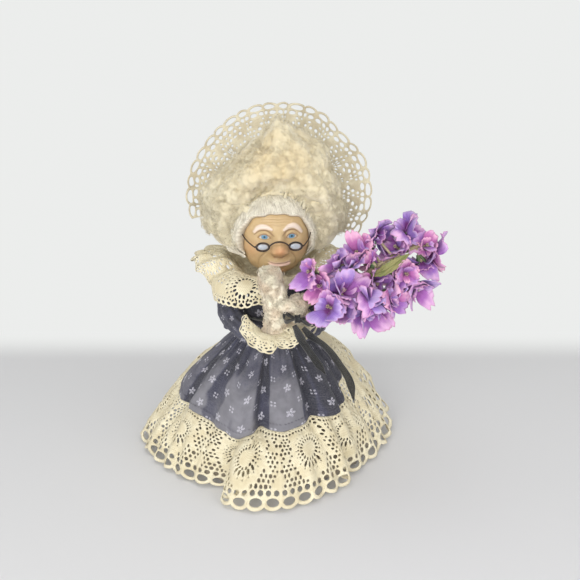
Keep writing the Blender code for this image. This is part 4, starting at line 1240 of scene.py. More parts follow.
def calico_values(along: Array, down: Array, wear_and_shade: Array | float = 0.3,
                  stitch: Array | float = 0.0) -> dict[str, Array]:
    """Give the point values that the calico reads.

    Args:
        along: Places along the cloth.
        down: Places down it.
        wear_and_shade: How faded it is, with painted shade where it is low.
        stitch: Where its thread shows.

    Returns:
        The values by attribute name.
    """
    shape = np.broadcast(along, down, wear_and_shade, stitch).shape
    flat = [np.broadcast_to(part, shape).ravel() for part in (along, down, wear_and_shade, stitch)]
    return {"cloth": stacked(flat[0], flat[1], 0.0), "wear_and_shade": flat[2], "stitch": flat[3]}


@dataclass
class Skirt:
    """The calico skirt over its petticoat, with a lace flounce sewn to its hem."""

    wardrobe: Wardrobe
    pattern: LacePattern = field(default_factory=LacePattern)
    top: float = 0.1096
    top_radius: float = 0.0240
    front_radius: float = 0.077
    hem_level: float = 0.046
    cloth: float = 0.001
    dome: float = 0.45
    onset: float = 0.7
    rise: float = 0.062
    turn: float = -15.0
    level: float = 55.0
    sweep: float = 60.0
    climb: float = 1.6
    depth: float = 0.0095
    columns: int = 380
    # Further rows of points at the stitching, as shares of the drop
    hem_rows: tuple = (0.935, 0.946, 0.957, 0.968)
    cloth_flat: Pair = (0.460, 0.088)
    cloth_share: float = 0.56
    # Bearing, radius share
    sides: tuple = ((-180, .93), (-130, .98), (-80, 1.04), (-45, 1.02), (0, 1.0), (40, .97),
                    (70, .90), (110, .90), (150, .92), (180, .93))
    # Bearing, width before and after it, depth share
    folds: tuple = ((-8.5, 1.8, 9, 1.1), (28, 6, 3.2, 1.1), (-40, 8, 8, .4), (-66, 7, 7, .6),
                    (-100, 7, 7, .75), (-140, 8, 8, .75), (52, 3, 7, .45), (68, 7, 7, .6),
                    (104, 8, 8, .75), (146, 8, 8, .75), (180, 7, 7, .65), (-180, 7, 7, .65))
    # Bearing, change of the hem's height
    hem_dips: tuple = ((-180, 0), (-75, 0), (-52, .0030), (-31, -.0022), (-19, -.0070),
                       (-12, -.0026), (-5, .0002), (5, .0018), (17, .0027), (26, .0035),
                       (32, .0062), (43, .0036), (58, -.0030), (75, -.0020), (100, 0), (180, 0))
    stitch_rise: float = 0.0048
    stitch_pitch: float = 0.0024
    pleats: int = 44
    pleat_depth: float = 0.0010
    band_rise: float = 0.0026
    band_wall: float = 0.0010
    petticoat_foot: float = 0.086
    petticoat_low: float = 0.002
    petticoat_high: float = 0.0920
    # Heights and radii of the cone inside, and the board's top and rim
    cone_levels: Pair = (0.0041, 0.1161)
    cone_radii: Pair = (0.0665, 0.0222)
    board_top: float = 0.006
    board_radius: float = 0.0690
    # Share of the height, radius share
    petticoat_profile: tuple = ((0, 1), (.10, .97), (.28, .84), (.43, .72), (.60, .64),
                                (.80, .50), (1, .35))
    lace_reach: float = 0.113
    lace_floor: float = 0.0014
    lace_lift: float = 0.055
    lace_bow: float = 0.005
    lace_repeats: float = 11.0
    # Bearing of the edge, its radius share, its lift share, bearing of the seam
    lace_edge: tuple = (
        (-179.5, .78, .95, -179.5), (-150, .83, .95, -150), (-128, .93, .62, -128),
        (-112, 1.00, .22, -112), (-98, 1.04, .02, -98), (-88, 1.045, 0, -88),
        (-72, .975, 0, -72), (-54, .905, 0, -54), (-38, .865, 0, -37), (-24, .805, 0, -20),
        (-9, .785, 0, -18.2), (-12, .87, 0, -17.6), (-20.5, .96, .012, -16.6),
        (-13, 1.015, 0, -12.5), (-5, 1.018, 0, -5), (4, 1.005, 0, 3.5), (12, .975, 0, 11),
        (21, .94, 0, 19), (33, .90, 0, 31), (40.5, .868, .012, 37.2), (36.5, .80, 0, 38.4),
        (43, .808, 0, 41), (52, .815, 0, 51), (62, .835, 0, 62), (80, .885, 0, 80),
        (96, .965, .02, 96), (108, .98, .18, 108), (120, .92, .60, 120), (134, .86, .95, 134),
        (155, .80, 1.0, 155), (179.5, .78, .95, 179.5))
    # Bearing, height of the flutes
    flutes: tuple = ((-180, .0022), (-60, .0016), (-20, .0010), (14, .0010), (22, .0026),
                     (34, .0016), (60, .0018), (180, .0022))
    flute_pitch: float = 0.0205
    flute_drift: float = 0.113

    def hem_height(self, bearing: Array) -> Array:
        """Give the height of the skirt's hem.

        Args:
            bearing: Bearings.

        Returns:
            The heights there.
        """
        turned = (bearing - self.turn + 180.0) % 360.0 - 180.0
        past = np.maximum(0.0, np.abs(turned) - self.level) / self.sweep
        climb = self.rise * (1.0 - np.exp(-past ** self.climb))
        return (np.minimum(self.hem_level + climb, self.top - self.depth)
                + eased_table(self.hem_dips, bearing)[0])

    def radius(self, bearing: Array, height: Array) -> Array:
        """Give the skirt's outer radius.

        Args:
            bearing: Bearings.
            height: Heights.

        Returns:
            The radii there.
        """
        wide = self.front_radius * eased_table(self.sides, bearing)[0]
        drop = np.clip((self.top - height) / (self.top - self.hem_level), 0.0, 1.0)
        reach = np.sin(np.arccos(1.0 - drop ** (1.0 / self.dome)))
        radius = self.top_radius + (wide - self.top_radius) * reach
        valley = np.zeros(np.broadcast(bearing, height).shape)
        for centre, before, after, share in self.folds:
            away = bearing - centre
            valley = valley + share * np.exp(-(away / np.where(away < 0.0, before, after)) ** 2)
        ridge = (1.0 - valley) * 0.12
        onset = ease(drop / self.onset)
        pleat = np.cos(np.radians(bearing) * self.pleats + 2.0 * np.sin(np.radians(bearing) * 5.0))
        gathers = self.pleat_depth * pleat * (1.0 - 0.8 * ease(drop / 0.8)) * ease(drop / 0.04)
        place = polar(self.front_radius, bearing, height)
        wrinkle = 0.0010 * soft_noise(place, 0.024, 5) + 0.0004 * soft_noise(place, 0.009, 6)
        return radius - self.depth * (valley - ridge) * onset + gathers + wrinkle * onset

    def make_cloth(self) -> None:
        """Make the skirt's cloth."""
        bearing = bearings(self.columns)
        hem = self.hem_height(bearing)
        drops = np.sort(np.concatenate([shares(70) ** 1.05, self.hem_rows]))[:, None]
        height = self.top + (hem - self.top)[None] * drops
        radius = self.radius(bearing[None], height)
        points = polar(radius, bearing[None], height)
        steps = np.linalg.norm(np.diff(points, axis=0), axis=-1)
        down = np.vstack([np.zeros(self.columns), np.cumsum(steps, axis=0)])
        from_hem = down[-1][None] - down
        along = run_length(points[40])
        stitch = np.exp(-((from_hem - self.stitch_rise) / 0.0004) ** 2)
        dashes = 0.55 + 0.45 * np.sign(np.sin(along[None] * FULL_TURN / self.stitch_pitch))
        turned_up = ease((self.stitch_rise - from_hem) / 0.0008)
        points = points + polar(0.0004 * turned_up, bearing[None], 0.0)
        # Painted light and shade in the wear: fold ridges paler, partly wear and partly painted
        # light; fold valleys and the doll's left side, past 26 degrees, darker as painted shade.
        # The front low down, the doll's right front and the turned-up hem are paler.
        ridge = radius - 0.5 * (np.roll(radius, 9, axis=1) + np.roll(radius, -9, axis=1))
        lower = ease((down / down[-1][None] - 0.35) / 0.5)
        centre = bell(bearing[None] - 10.0, np.zeros(1), 15.0, 1.0)
        left = bell(bearing[None] + 34.0, np.zeros(1), 26.0, 1.0)
        right = ease((bearing[None] - 26.0) / 14.0)
        wear_and_shade = (0.06 + np.clip(ridge / 0.0022, -0.40, 0.25) - 0.62 * right
                + lower * (0.58 * centre + 0.66 * left)
                + 0.08 * turned_up)
        item = build("skirt_cloth", points, [grid_faces(len(drops), self.columns, ring=True)],
                     self.wardrobe.navy,
                     calico_values(along[None], from_hem, wear_and_shade, stitch * dashes))
        thicken(item, self.cloth, -0.2)
        settle(item, Body.ROOT, "navy_cotton", "skirt")
        declare_sheet(self.cloth_flat, self.cloth_share)

    def edge_path(self) -> tuple[Array, Array]:
        """Give the lace's free edge: x, y, height, seam bearing and bearing, with its length.

        Returns:
            The rows, and the length of the edge to each.
        """
        rows = np.array(self.lace_edge, float)
        edge = polar(self.lace_reach * rows[:, 1], rows[:, 0],
                     self.lace_floor + self.lace_lift * rows[:, 2])
        path = smooth_path(np.column_stack([edge, rows[:, 3], rows[:, 0]]), 14)
        return path, run_length(path[:, :2])

    def lace_surface(self, along: Array, down: Array) -> Array:
        """Give points of the flounce.

        Args:
            along: Shares along the lace.
            down: Shares down it.

        Returns:
            The points.
        """
        path, length = self.edge_path()
        at = along * length[-1]
        row = read_path(path, length, at)
        seam_bearing = row[:, 3]
        hem = self.hem_height(seam_bearing)
        seam = polar(self.radius(seam_bearing, hem) - 0.0008, seam_bearing, hem - 0.0006)
        point = seam + (row[:, :3] - seam) * down[:, None]
        point[:, 2] += self.lace_bow * np.sin(math.pi * down)
        tall = eased_table(self.flutes, row[:, 4])[0]
        phase = (at * FULL_TURN / self.flute_pitch
                 + 1.3 * np.sin(at * FULL_TURN / self.flute_drift))
        swell = ease(down * 1.1)
        wave = tall * np.sin(phase) * swell
        point[:, :2] += unit(point[:, :2]) * wave[:, None]
        point[:, 2] += (tall * (1.0 + np.sin(phase)) * 0.55 * swell
                        + 0.0006 * soft_noise(point, 0.012, 8) * ease(1.0 - down))
        point[:, 2] = np.maximum(point[:, 2], 0.0008)
        return point

    def make_lace(self) -> None:
        """Make the flounce."""
        item = sew_lace("hem_flounce", self.pattern, self.lace_repeats, self.lace_surface,
                        self.wardrobe.lace, 0.0009)
        settle(item, Body.ROOT, "lace", "hem_lace")
        declare_sheet((self.pattern.repeat * self.lace_repeats, self.pattern.depth),
                      self.pattern.cover)

    def make_petticoat(self) -> None:
        """Make the stuffed petticoat."""
        bearing, share = bearings(180), shares(40)
        profile = np.array(self.petticoat_profile, float)
        wide = np.interp(share, profile[:, 0], profile[:, 1]) * self.petticoat_foot
        pleat = 1.0 - 0.014 * (1.0 + np.cos(np.radians(bearing) * 36.0
                                            + 1.5 * np.sin(np.radians(bearing) * 7.0)))
        height = self.petticoat_low + (self.petticoat_high - self.petticoat_low) * share
        outer = polar(wide[:, None] * pleat[None], bearing[None], height[:, None])
        inner_radius = np.interp(height, self.cone_levels, self.cone_radii)
        inner_radius = np.maximum(np.minimum(inner_radius, wide - 0.003), 0.02)
        inner_radius = np.where(height < self.board_top, self.board_radius, inner_radius)
        inner = polar(inner_radius[:, None], bearing[None], height[:, None])
        points = np.vstack([outer, inner[::-1]])
        along = np.radians(bearing)[None] * self.petticoat_foot
        down = np.arange(len(points))[:, None] * 0.002
        item = build("petticoat_stuffed", points,
                     [grid_faces(len(points), 180, ring=True, hoop=True)], self.wardrobe.lining,
                     calico_values(along, down))
        settle(item, Body.ROOT, "lining", "petticoat")

    def make_waistband(self) -> None:
        """Make the band that gathers the skirt."""
        low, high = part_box("waistband")
        outer = (high.x - low.x) / 2.0
        top = high.z + self.band_rise
        turn = np.linspace(0.0, FULL_TURN, 20, endpoint=False)
        bearing, wall = bearings(160), self.band_wall
        height = (top - low.z) / 2.0
        section = np.sign(np.sin(turn)) * np.abs(np.sin(turn)) ** 0.5 * height
        reach = np.sign(np.cos(turn)) * np.abs(np.cos(turn)) ** 0.6 * wall
        pucker = 0.00025 * np.cos(np.radians(bearing) * 52.0)
        points = polar(outer - wall + reach[:, None] + pucker[None] * (reach[:, None] > 0.0),
                       bearing[None], (low.z + top) / 2.0 + section[:, None])
        item = build("waistband_cloth", points, [grid_faces(20, 160, ring=True, hoop=True)],
                     self.wardrobe.navy,
                     calico_values(np.radians(bearing)[None] * outer, section[:, None], -0.3))
        settle(item, Body.ROOT, "navy_cotton", "waistband")

    def make(self) -> None:
        """Make every piece."""
        self.make_waistband()
        self.make_petticoat()
        self.make_cloth()
        self.make_lace()


@dataclass
class Bodice:
    """The stuffed bodice, its sleeves and its collar of lace."""

    wardrobe: Wardrobe
    pattern: LacePattern = field(default_factory=lambda: LacePattern(
        picots=11, scallop=0.0006, picot_hole=(0.0018, 0.0010), picot_level=0.0581,
        net_count=15, net_hole=0.0014, big_level=0.0555, big_hole=(0.0008, 0.0007),
        net_levels=tuple(0.0090 + 0.0037 * step for step in range(11)),
        fan_middle=(0.0305, 0.0435), fan_half=(0.0190, 0.0160), slot_turns=(),
        rings=((0.0088, 16, 0.0013, 0.0019), (0.0121, 22, 0.0008, 0.0011)),
        pin_hole=(0.0008, 0.0012), pin_arcs=((0.88, 26),), cover=0.7))
    medallion: float = -19.6
    low: float = 0.1164
    high: float = 0.1504
    half_width: float = 0.020
    half_depth: float = 0.018
    dowel_hole: float = 0.0046
    neck_height: float = 0.1525
    neck_radius: float = 0.0092
    crest_radius: float = 0.043
    edge_radius: float = 0.064
    crest_rise: float = 0.0187
    stand: float = 0.3
    collar_repeats: float = 7.0
    collar_span: float = 359.2
    collar_flutes: float = 22.0
    # Bearing, crest's reach and rise, edge's reach and rise, as shares
    collar: tuple = (
        (-180, .90, .70, .82, .20), (-140, .95, .85, .90, .30), (-105, 1, 1, .98, .80),
        (-75, 1, 1, 1.02, .72), (-62, .98, .90, .97, .30), (-54, .90, .45, .90, .02),
        (-42, 1, .55, 1, -.52), (-22, 1.05, .45, 1.02, -.60), (-8, 1, .40, .95, -.50),
        (8, .85, .30, .72, -.10), (40, .85, .30, .72, -.05), (75, .95, .55, .85, .20),
        (100, 1, 1, .95, .75), (125, 1, 1, .97, .60), (150, .95, .85, .90, .30),
        (180, .90, .70, .82, .20))
    shoulder: float = 0.141
    arm_reach: float = 0.070
    sleeve_radius: float = 0.010
    sleeve_wall: float = 0.0019
    # Places from the shoulder as shares of the reach, and the radius share
    right_arm: tuple = (
        (-.294, 0, 0, .85), (-.371, 0, .007, .95), (-.446, -.014, -.054, 1.08),
        (-.489, -.057, -.164, 1.14), (-.493, -.157, -.286, 1.06), (-.407, -.357, -.340, .90),
        (-.271, -.571, -.364, .84), (-.136, -.729, -.357, .76), (-.050, -.821, -.329, .62))
    left_arm: tuple = (
        (.294, 0, 0, .85), (.371, 0, .007, .95), (.460, -.014, -.057, 1.08),
        (.517, -.057, -.164, 1.10), (.543, -.157, -.279, 1.0), (.514, -.357, -.329, .92),
        (.450, -.543, -.343, .86), (.374, -.686, -.329, .74), (.340, -.764, -.307, .56))

    def make_torso(self) -> None:
        """Make the bodice."""
        bearing, share = bearings(96), shares(26)
        swell = np.minimum(1.0, 0.35 + 1.6 * np.sin(math.pi * np.clip(share, 0.02, 0.98)) ** 0.6)
        pleat = 1.0 + 0.02 * np.cos(np.radians(bearing) * 24.0)
        angle = np.radians(bearing)[None]
        height = self.low + (self.high - self.low) * share[:, None]
        swell = swell * (1.0 + 0.22 * np.exp(-((share - 0.15) / 0.20) ** 2))
        points = stacked(self.half_width * swell[:, None] * pleat * np.sin(angle),
                         -self.half_depth * swell[:, None] * pleat * np.cos(angle), height)
        ends = [polar(self.dowel_hole, bearing, points[row, 0, 2]) for row in (0, -1)]
        points = np.concatenate([ends[0][None], points, ends[1][None]])
        item = build("bodice_stuffed", points, [grid_faces(28, 96, ring=True, hoop=True)],
                     self.wardrobe.navy,
                     calico_values(np.radians(bearing)[None] * self.half_width,
                                   np.arange(28)[:, None] * 0.0015, -0.3))
        settle(item, Body.ROOT, "navy_cotton", "bodice")

    def collar_surface(self, along: Array, down: Array) -> Array:
        """Give points of the collar's frill.

        Args:
            along: Shares along the lace.
            down: Shares down it.

        Returns:
            The points.
        """
        shift = (self.medallion / self.collar_span + 0.5 - 3.5 / self.collar_repeats) % 1.0
        bearing = self.collar_span * ((along + shift) % 1.0 - 0.5)
        crest_share, crest_up, edge_share, edge_up = eased_table(self.collar, bearing)
        crest_radius = self.crest_radius * crest_share
        crest = self.crest_rise * crest_up
        loose = 1.0 - 0.85 * np.exp(-((bearing + 27.0) / 27.0) ** 2)
        phase = np.radians(bearing) * self.collar_flutes + 1.2 * np.sin(np.radians(bearing) * 5.0)
        edge_radius = self.edge_radius * edge_share + 0.0016 * loose * np.cos(phase)
        edge = self.crest_rise * edge_up
        first = down < 0.5
        part = ease((down * 2.0 - self.stand) / (1.0 - self.stand))
        late = down * 2.0 - 1.0
        radius = np.where(first, self.neck_radius + (crest_radius - self.neck_radius) * down * 2.0,
                          crest_radius + (edge_radius - crest_radius)
                          * np.sin(late * math.pi / 2.0))
        height = np.where(first, crest * part, crest + (edge - crest) * late * late)
        flute = ease(down * 1.3 - 0.15)
        height = height + 0.0017 * flute * loose * np.sin(phase)
        return polar(radius, bearing, self.neck_height + height)

    def make_collar(self) -> None:
        """Make the collar."""
        item = sew_lace("collar_frill", self.pattern, self.collar_repeats, self.collar_surface,
                        self.wardrobe.lace, 0.0008)
        settle(item, Body.ROOT, "lace", "collar_lace")
        declare_sheet((self.pattern.repeat * self.collar_repeats, self.pattern.depth),
                      self.pattern.cover)

    def make_sleeve(self, side: str, arm: tuple) -> None:
        """Make one gathered sleeve.

        Args:
            side: The arm's side.
            arm: Its middle line and radius shares.
        """
        path = smooth_path(arm, 9)
        points = path[:, :3] * self.arm_reach + (0.0, 0.0, self.shoulder)
        length = run_length(points)
        sides = 72
        rings = tubes(points[None], self.sleeve_radius * path[None, :, 3], sides)[0]
        rings = rings.reshape(len(points), sides, 3)
        turn = FULL_TURN * np.arange(sides)[None] / sides
        share = (length / length[-1])[:, None]
        ends = ease(share / 0.10) * ease((1.0 - share) / 0.10)
        pleat = 0.055 * np.cos(turn * 9.0 + 2.5 * np.sin(share * 7.0))
        crumple = 0.07 * soft_noise(rings, 0.014, 21) + 0.04 * soft_noise(rings, 0.006, 22)
        grow = 0.97 + (pleat + crumple) * (0.4 + 0.6 * ends) - 0.10 * (1.0 - ends)
        rings = points[:, None] + (rings - points[:, None]) * grow[..., None]
        rings[0, :, 0] = points[0, 0]
        inner = points[:, None] + unit(rings - points[:, None]) * self.sleeve_wall
        whole = np.concatenate([rings, inner[::-1]])
        down = np.concatenate([length, length[::-1]])[:, None]
        item = build("sleeve_cloth_" + side, whole,
                     [grid_faces(len(whole), sides, ring=True, hoop=True)], self.wardrobe.navy,
                     calico_values(turn * self.sleeve_radius * 1.3, down + 0.4, 0.12))
        settle(item, Body.ARMS, "navy_cotton", "sleeve_" + side)

    def make(self) -> None:
        """Make every piece."""
        self.make_torso()
        self.make_collar()
        self.make_sleeve("right", self.right_arm)
        self.make_sleeve("left", self.left_arm)


# Head


@dataclass
class Head:
    """The moulded head with its painted face, combed hair, wool and lace bonnet."""

    wardrobe: Wardrobe
    middle: Place = (0.0018, -0.0052, 0.188)
    yaw: float = 7.0
    half: Place = (0.029, 0.030, 0.0335)
    neck_radius: float = 0.009
    neck_low: float = 0.1540
    chin: float = 0.160
    face_top: float = 0.2135
    # The front's fine mesh: half its turn in degrees, and the rows and columns of points
    face_turn: float = 75.0
    face_rows: int = 190
    face_columns: int = 250
    back_columns: int = 60
    socket_radius: float = 0.0044
    socket_top: float = 0.1890
    fringe_clearance: float = 0.0007
    # Bearing, depth of the combed roll
    fringe_depths: tuple = ((-125, .0108), (-85, .0146), (-45, .0074), (0, .0046), (50, .0052),
                            (85, .0080), (125, .0066))
    fringe_span: float = 116.0
    # Bearing, inner and outer edge as shares of a right angle
    fringe_angles: tuple = ((0, .37, .72), (30, .41, .75), (60, .57, .90), (90, .67, .98),
                            (116, .74, .96))
    parting: float = -14.0
    # Places on the face, across and up from the head's middle
    eyes: tuple = ((-.0107, .0021), (.0106, .0024))
    nose: tuple = (.0008, -.0080)
    mouth: tuple = (.0012, -.0193)
    brow_right: tuple = ((-.0182, .0058), (-.0152, .0090), (-.0120, .0100), (-.0085, .0096),
                         (-.0054, .0082))
    brow_left: tuple = ((.0047, .0080), (.0085, .0102), (.0125, .0105), (.0160, .0084),
                        (.0190, .0050))
    # Across, up, half width, half height and reach; a mirrored one has its middle line first
    mounds: tuple = ((.0008, -.0080, .0072, .0062, .0032), (.0008, .0015, .0042, .0065, .0040),
                     (.0012, -.0193, .0105, .0055, .0030), (.0012, -.0239, .0060, .0012, -.0012),
                     (.0022, -.0265, .0075, .0050, .0045))
    side_mounds: tuple = ((.0008, .0060, -.0094, .0024, .0024, .0018),
                          (.0008, .0028, -.0138, .0013, .0011, -.0012),
                          (0, .0170, -.0090, .0070, .0060, .0032),
                          (0, .0190, -.0180, .0050, .0060, .0010))
    # The same for dabs of paint, with the paint first and its cover last
    dabs: tuple = (("blush", .0008, -.0080, .0062, .0050, .60),
                   ("blush", .0022, -.0270, .0070, .0045, .35))
    # The crease dabs are painted shade in the nostrils and beside the nose
    side_dabs: tuple = (("blush", 0, .0205, -.0085, .0060, .0070, .28),
                        ("crease_shade", .0008, .0028, -.0138, .0013, .0010, .60),
                        ("crease_shade", 0, .0052, .0030, .0013, .0035, .50))
    # The left side's lines, which the right side mirrors
    smile_crease: tuple = ((.0088, -.0085), (.0118, -.0120), (.0142, -.0165), (.0146, -.0215))
    jowl_crease: tuple = ((.0192, -.0120), (.0214, -.0155), (.0212, -.0200))
    eye_pouch: tuple = ((.0055, -.0022), (.0105, -.0042), (.0160, -.0020))
    furrow_levels: tuple = (.0159, .0139, .0116)
    furrow_bows: tuple = (.0004, .0006, .0009)
    smile_bend: float = 14.0
    strands: int = 1400
    strand_stops: int = 9
    strand_sweeps: Pair = (16.0, 42.0)
    strand_radii: Pair = (0.00016, 0.00034)
    fringe_grid: tuple[int, int] = (26, 420)
    # Node, curls and puffs
    tufts: tuple = (("wool_top", 2900, 190), ("wool_right", 2350, 150), ("wool_left", 2350, 150),
                    ("wool_back", 800, 60))
    tuft_cell: float = 0.0012
    puff_sizes: Pair = (0.0050, 0.0125)
    curl_sizes: Pair = (0.0009, 0.0025)
    wool_middle: Place = (0.001, 0.004, 0.200)
    wool_under: float = 0.192
    wool_hug: Place = (0.0336, 0.0365, 0.0381)
    rim_middle: Pair = (0.004, 0.210)
    # Bearing about the rim's middle, and how far out the wool is teased there
    wool_shares: tuple = ((-125, .96), (-90, .92), (-60, .85), (-43, .80), (-28, .84), (-14, .92),
                          (-5, 1.08), (1, 1.20), (7, 1.13), (15, 1.03), (40, 1.0), (58, .89),
                          (79, .87), (98, .96), (125, 1.0))
    crown_radius: float = 0.030
    crown_depth: float = 0.027
    crown_wall: float = 0.001
    bonnet_middle: Place = (0.006, 0.027, 0.212)
    bonnet_edge: float = 0.080
    bonnet_lean: float = 0.62
    bonnet_side_lean: float = 0.06
    bonnet_gap: float = 0.0009
    bonnet_span: Pair = (-104.0, 118.0)
    # Bearing, share of the edge's reach
    bonnet_shares: tuple = ((-104, .99), (-80, 1), (-50, .97), (-20, .97), (0, .965), (25, .98),
                            (45, .94), (70, 1), (95, .99), (118, .94))
    bonnet_repeats: float = 6.0
    bonnet_ruffles: float = 21.0
    crown_gathers: float = 34.0
    crown_grid: tuple[int, int] = (60, 300)
    crown_flat: Pair = (0.098, 0.098)
    bonnet_pattern: LacePattern = field(default_factory=lambda: LacePattern(
        repeat=0.0530, picots=4, net_count=10, net_hole=0.0020,
        net_levels=(0.0445, 0.0396, 0.0347, 0.0298, 0.0249, 0.0200, 0.0151),
        big_hole=(0.0027, 0.0023), big_level=0.0496, picot_hole=(0.0052, 0.0028),
        picot_level=0.0556, fan_middle=(0.0265, 0.0200), fan_half=(0.0088, 0.0150),
        slot_turns=(-13.5, 0.0, 13.5), pin_arcs=((0.86, 9),), top_hole=0.0013, cover=0.66))

    def turned(self, points: Array, back: bool = False) -> Array:
        """Turn points with the head about the neck, or back.

        Args:
            points: The points.
            back: Whether they turn back.

        Returns:
            The turned points.
        """
        angle = math.radians(-self.yaw if back else self.yaw)
        spin = np.array([[math.cos(angle), -math.sin(angle), 0.0],
                         [math.sin(angle), math.cos(angle), 0.0], [0.0, 0.0, 1.0]])
        return points @ spin.T

    def stroke(self, x: Array, z: Array, stops: Sequence, width: float, soft: float) -> Array:
        """Mask a curved stroke on the face.

        Args:
            x: Places across.
            z: Places up.
            stops: The stroke's middle line.
            width: Half its width in the middle; the ends are finer.
            soft: Softness of its edge.

        Returns:
            The mask.
        """
        path = smooth_path(stops, 8)
        away = np.linalg.norm(stacked(x.ravel(), z.ravel())[:, None] - path[None], axis=-1)
        near = away.argmin(1)
        share = near / (len(path) - 1)
        wide = width * (0.35 + 0.65 * np.sin(math.pi * np.clip(share, 0.04, 0.96)) ** 0.6)
        mask = ease((wide + soft - away[np.arange(len(near)), near]) / (2.0 * soft))
        return mask.reshape(x.shape)

    def across_brow(self, level: float, bow: float, dip: float) -> Sequence[Pair]:
        """Give the curve of a furrow at a level, bowed at its ends and dipped in its middle."""
        return ((-.0120, level - bow), (-.0060, level), (0.0, level - dip), (.0050, level),
                (.0100, level - bow))

    def relief(self, x: Array, z: Array) -> Array:
        """Give how far the face stands out before the plain head.

        Args:
            x: Places across the face from its middle.
            z: Places up the face from its middle.

        Returns:
            The reach forward in metres.
        """
        nose_x, nose_z = self.nose
        ball = 1.0 - ((x - nose_x) / 0.0070) ** 2 - ((z - nose_z) / 0.0056) ** 2
        reach = 0.0064 * np.clip(ball, 0.0, 1.0) ** 0.6
        for across, up, wide, tall, rise in self.mounds:
            reach += rise * bell(x - across, z - up, wide, tall)
        for side, _ in SIDES:
            for line, across, up, wide, tall, rise in self.side_mounds:
                reach += rise * bell(x - line - side * across, z - up, wide, tall)
            reach -= 0.0008 * self.stroke(side * x, z, self.smile_crease, 0.0006, 0.0012)
            for line in (self.jowl_crease, self.eye_pouch):
                reach -= 0.0006 * self.stroke(side * x, z, line, 0.0004, 0.0009)
        for (eye_x, eye_z), brow in zip(self.eyes, (self.brow_right, self.brow_left)):
            reach -= 0.0030 * bell(x - eye_x, z - eye_z, 0.0062, 0.0042)
            eyeball = np.clip(1.0 - ((x - eye_x) / 0.0047) ** 2 - ((z - eye_z) / 0.0023) ** 2,
                              0.0, 1.0)
            reach += 0.0019 * eyeball ** 0.6
            lid = self.stroke(x, z, self.lid_line(eye_x, eye_z, 0.0031), 0.0009, 0.0007)
            low = self.stroke(x, z, self.lid_line(eye_x, eye_z, -0.0026), 0.0007, 0.0007)
            reach += 0.0010 * lid + 0.0006 * low
            reach += 0.0015 * self.stroke(x, z, brow, 0.0018, 0.0016)
        for level, bow in zip(self.furrow_levels, self.furrow_bows):
            furrow = self.across_brow(level, bow, bow * 0.6)
            reach -= 0.0006 * self.stroke(x, z, furrow, 0.0003, 0.0007)
        mouth_x, mouth_z = self.mouth
        smile = mouth_z + self.smile_bend * (x - mouth_x) ** 2
        span = ease((0.0105 - np.abs(x - mouth_x)) / 0.004)
        reach += 0.0012 * span * np.exp(-((z - smile - 0.0013) / 0.0012) ** 2)
        reach -= 0.0016 * span * np.exp(-((z - smile) / 0.0006) ** 2)
        reach += 0.0013 * span * np.exp(-((z - smile + 0.0016) / 0.0013) ** 2)
        return reach

    def lid_line(self, eye_x: float, eye_z: float, rise: float) -> tuple:
        """Give the curve of a lid over or under an eye."""
        return ((eye_x - .0045, eye_z - .0002), (eye_x - .0024, eye_z + rise * .75),
                (eye_x, eye_z + rise), (eye_x + .0024, eye_z + rise * .75),
                (eye_x + .0045, eye_z - .0002))

    def paints(self, x: Array, z: Array) -> dict[str, Array]:
        """Give the mask of each paint on the face, with the painted shade of its creases among
        them.

        Args:
            x: Places across the face from its middle.
            z: Places up the face from its middle.

        Returns:
            The masks by name.
        """
        masks = {mask: np.zeros(x.shape) for mask, _, _ in SkinFinish.coats}
        for paint, across, up, wide, tall, cover in self.dabs:
            masks[paint] += cover * bell(x - across, z - up, wide, tall)
        for side, _ in SIDES:
            for paint, line, across, up, wide, tall, cover in self.side_dabs:
                masks[paint] += cover * bell(x - line - side * across, z - up, wide, tall)
            # Painted shade along the smile lines
            masks["crease_shade"] += 0.75 * self.stroke(side * x, z, self.smile_crease, 0.0003, 0.0010)
        nose_x, nose_z = self.nose
        # Painted shade under the nose's bulb
        under = np.sqrt(np.clip(1.0 - ((x - nose_x) / 0.0072) ** 2, 0.0, 1.0))
        under = nose_z - 0.0056 * under
        masks["crease_shade"] += 0.75 * ease((0.0074 - np.abs(x - nose_x)) / 0.002) * np.exp(
            -((z - under) / 0.0010) ** 2)
        # Painted shade in the forehead's furrows
        for level in self.furrow_levels:
            furrow = self.across_brow(level, .0005, .0004)
            masks["crease_shade"] += 0.38 * self.stroke(x, z, furrow, 0.0002, 0.0007)
        for (eye_x, eye_z), brow in zip(self.eyes, (self.brow_right, self.brow_left)):
            dx, dz = x - eye_x, z - eye_z
            opening = ease((1.0 - (dx / 0.0039) ** 2 - (dz / 0.0017) ** 2) / 0.25)
            masks["white"] = np.maximum(masks["white"], 0.6 * opening)
            away = np.hypot(dx - 0.0002, dz)
            masks["iris"] += opening * (0.30 + 0.70 * ease((0.0026 - away) / 0.0006))
            masks["pupil"] += opening * ease((0.00105 - away) / 0.0005)
            masks["dark"] += 0.35 * np.exp(-((away - 0.0022) / 0.00035) ** 2) * opening
            lid = self.stroke(x, z, self.lid_line(eye_x, eye_z, 0.0020), 0.0005, 0.0004)
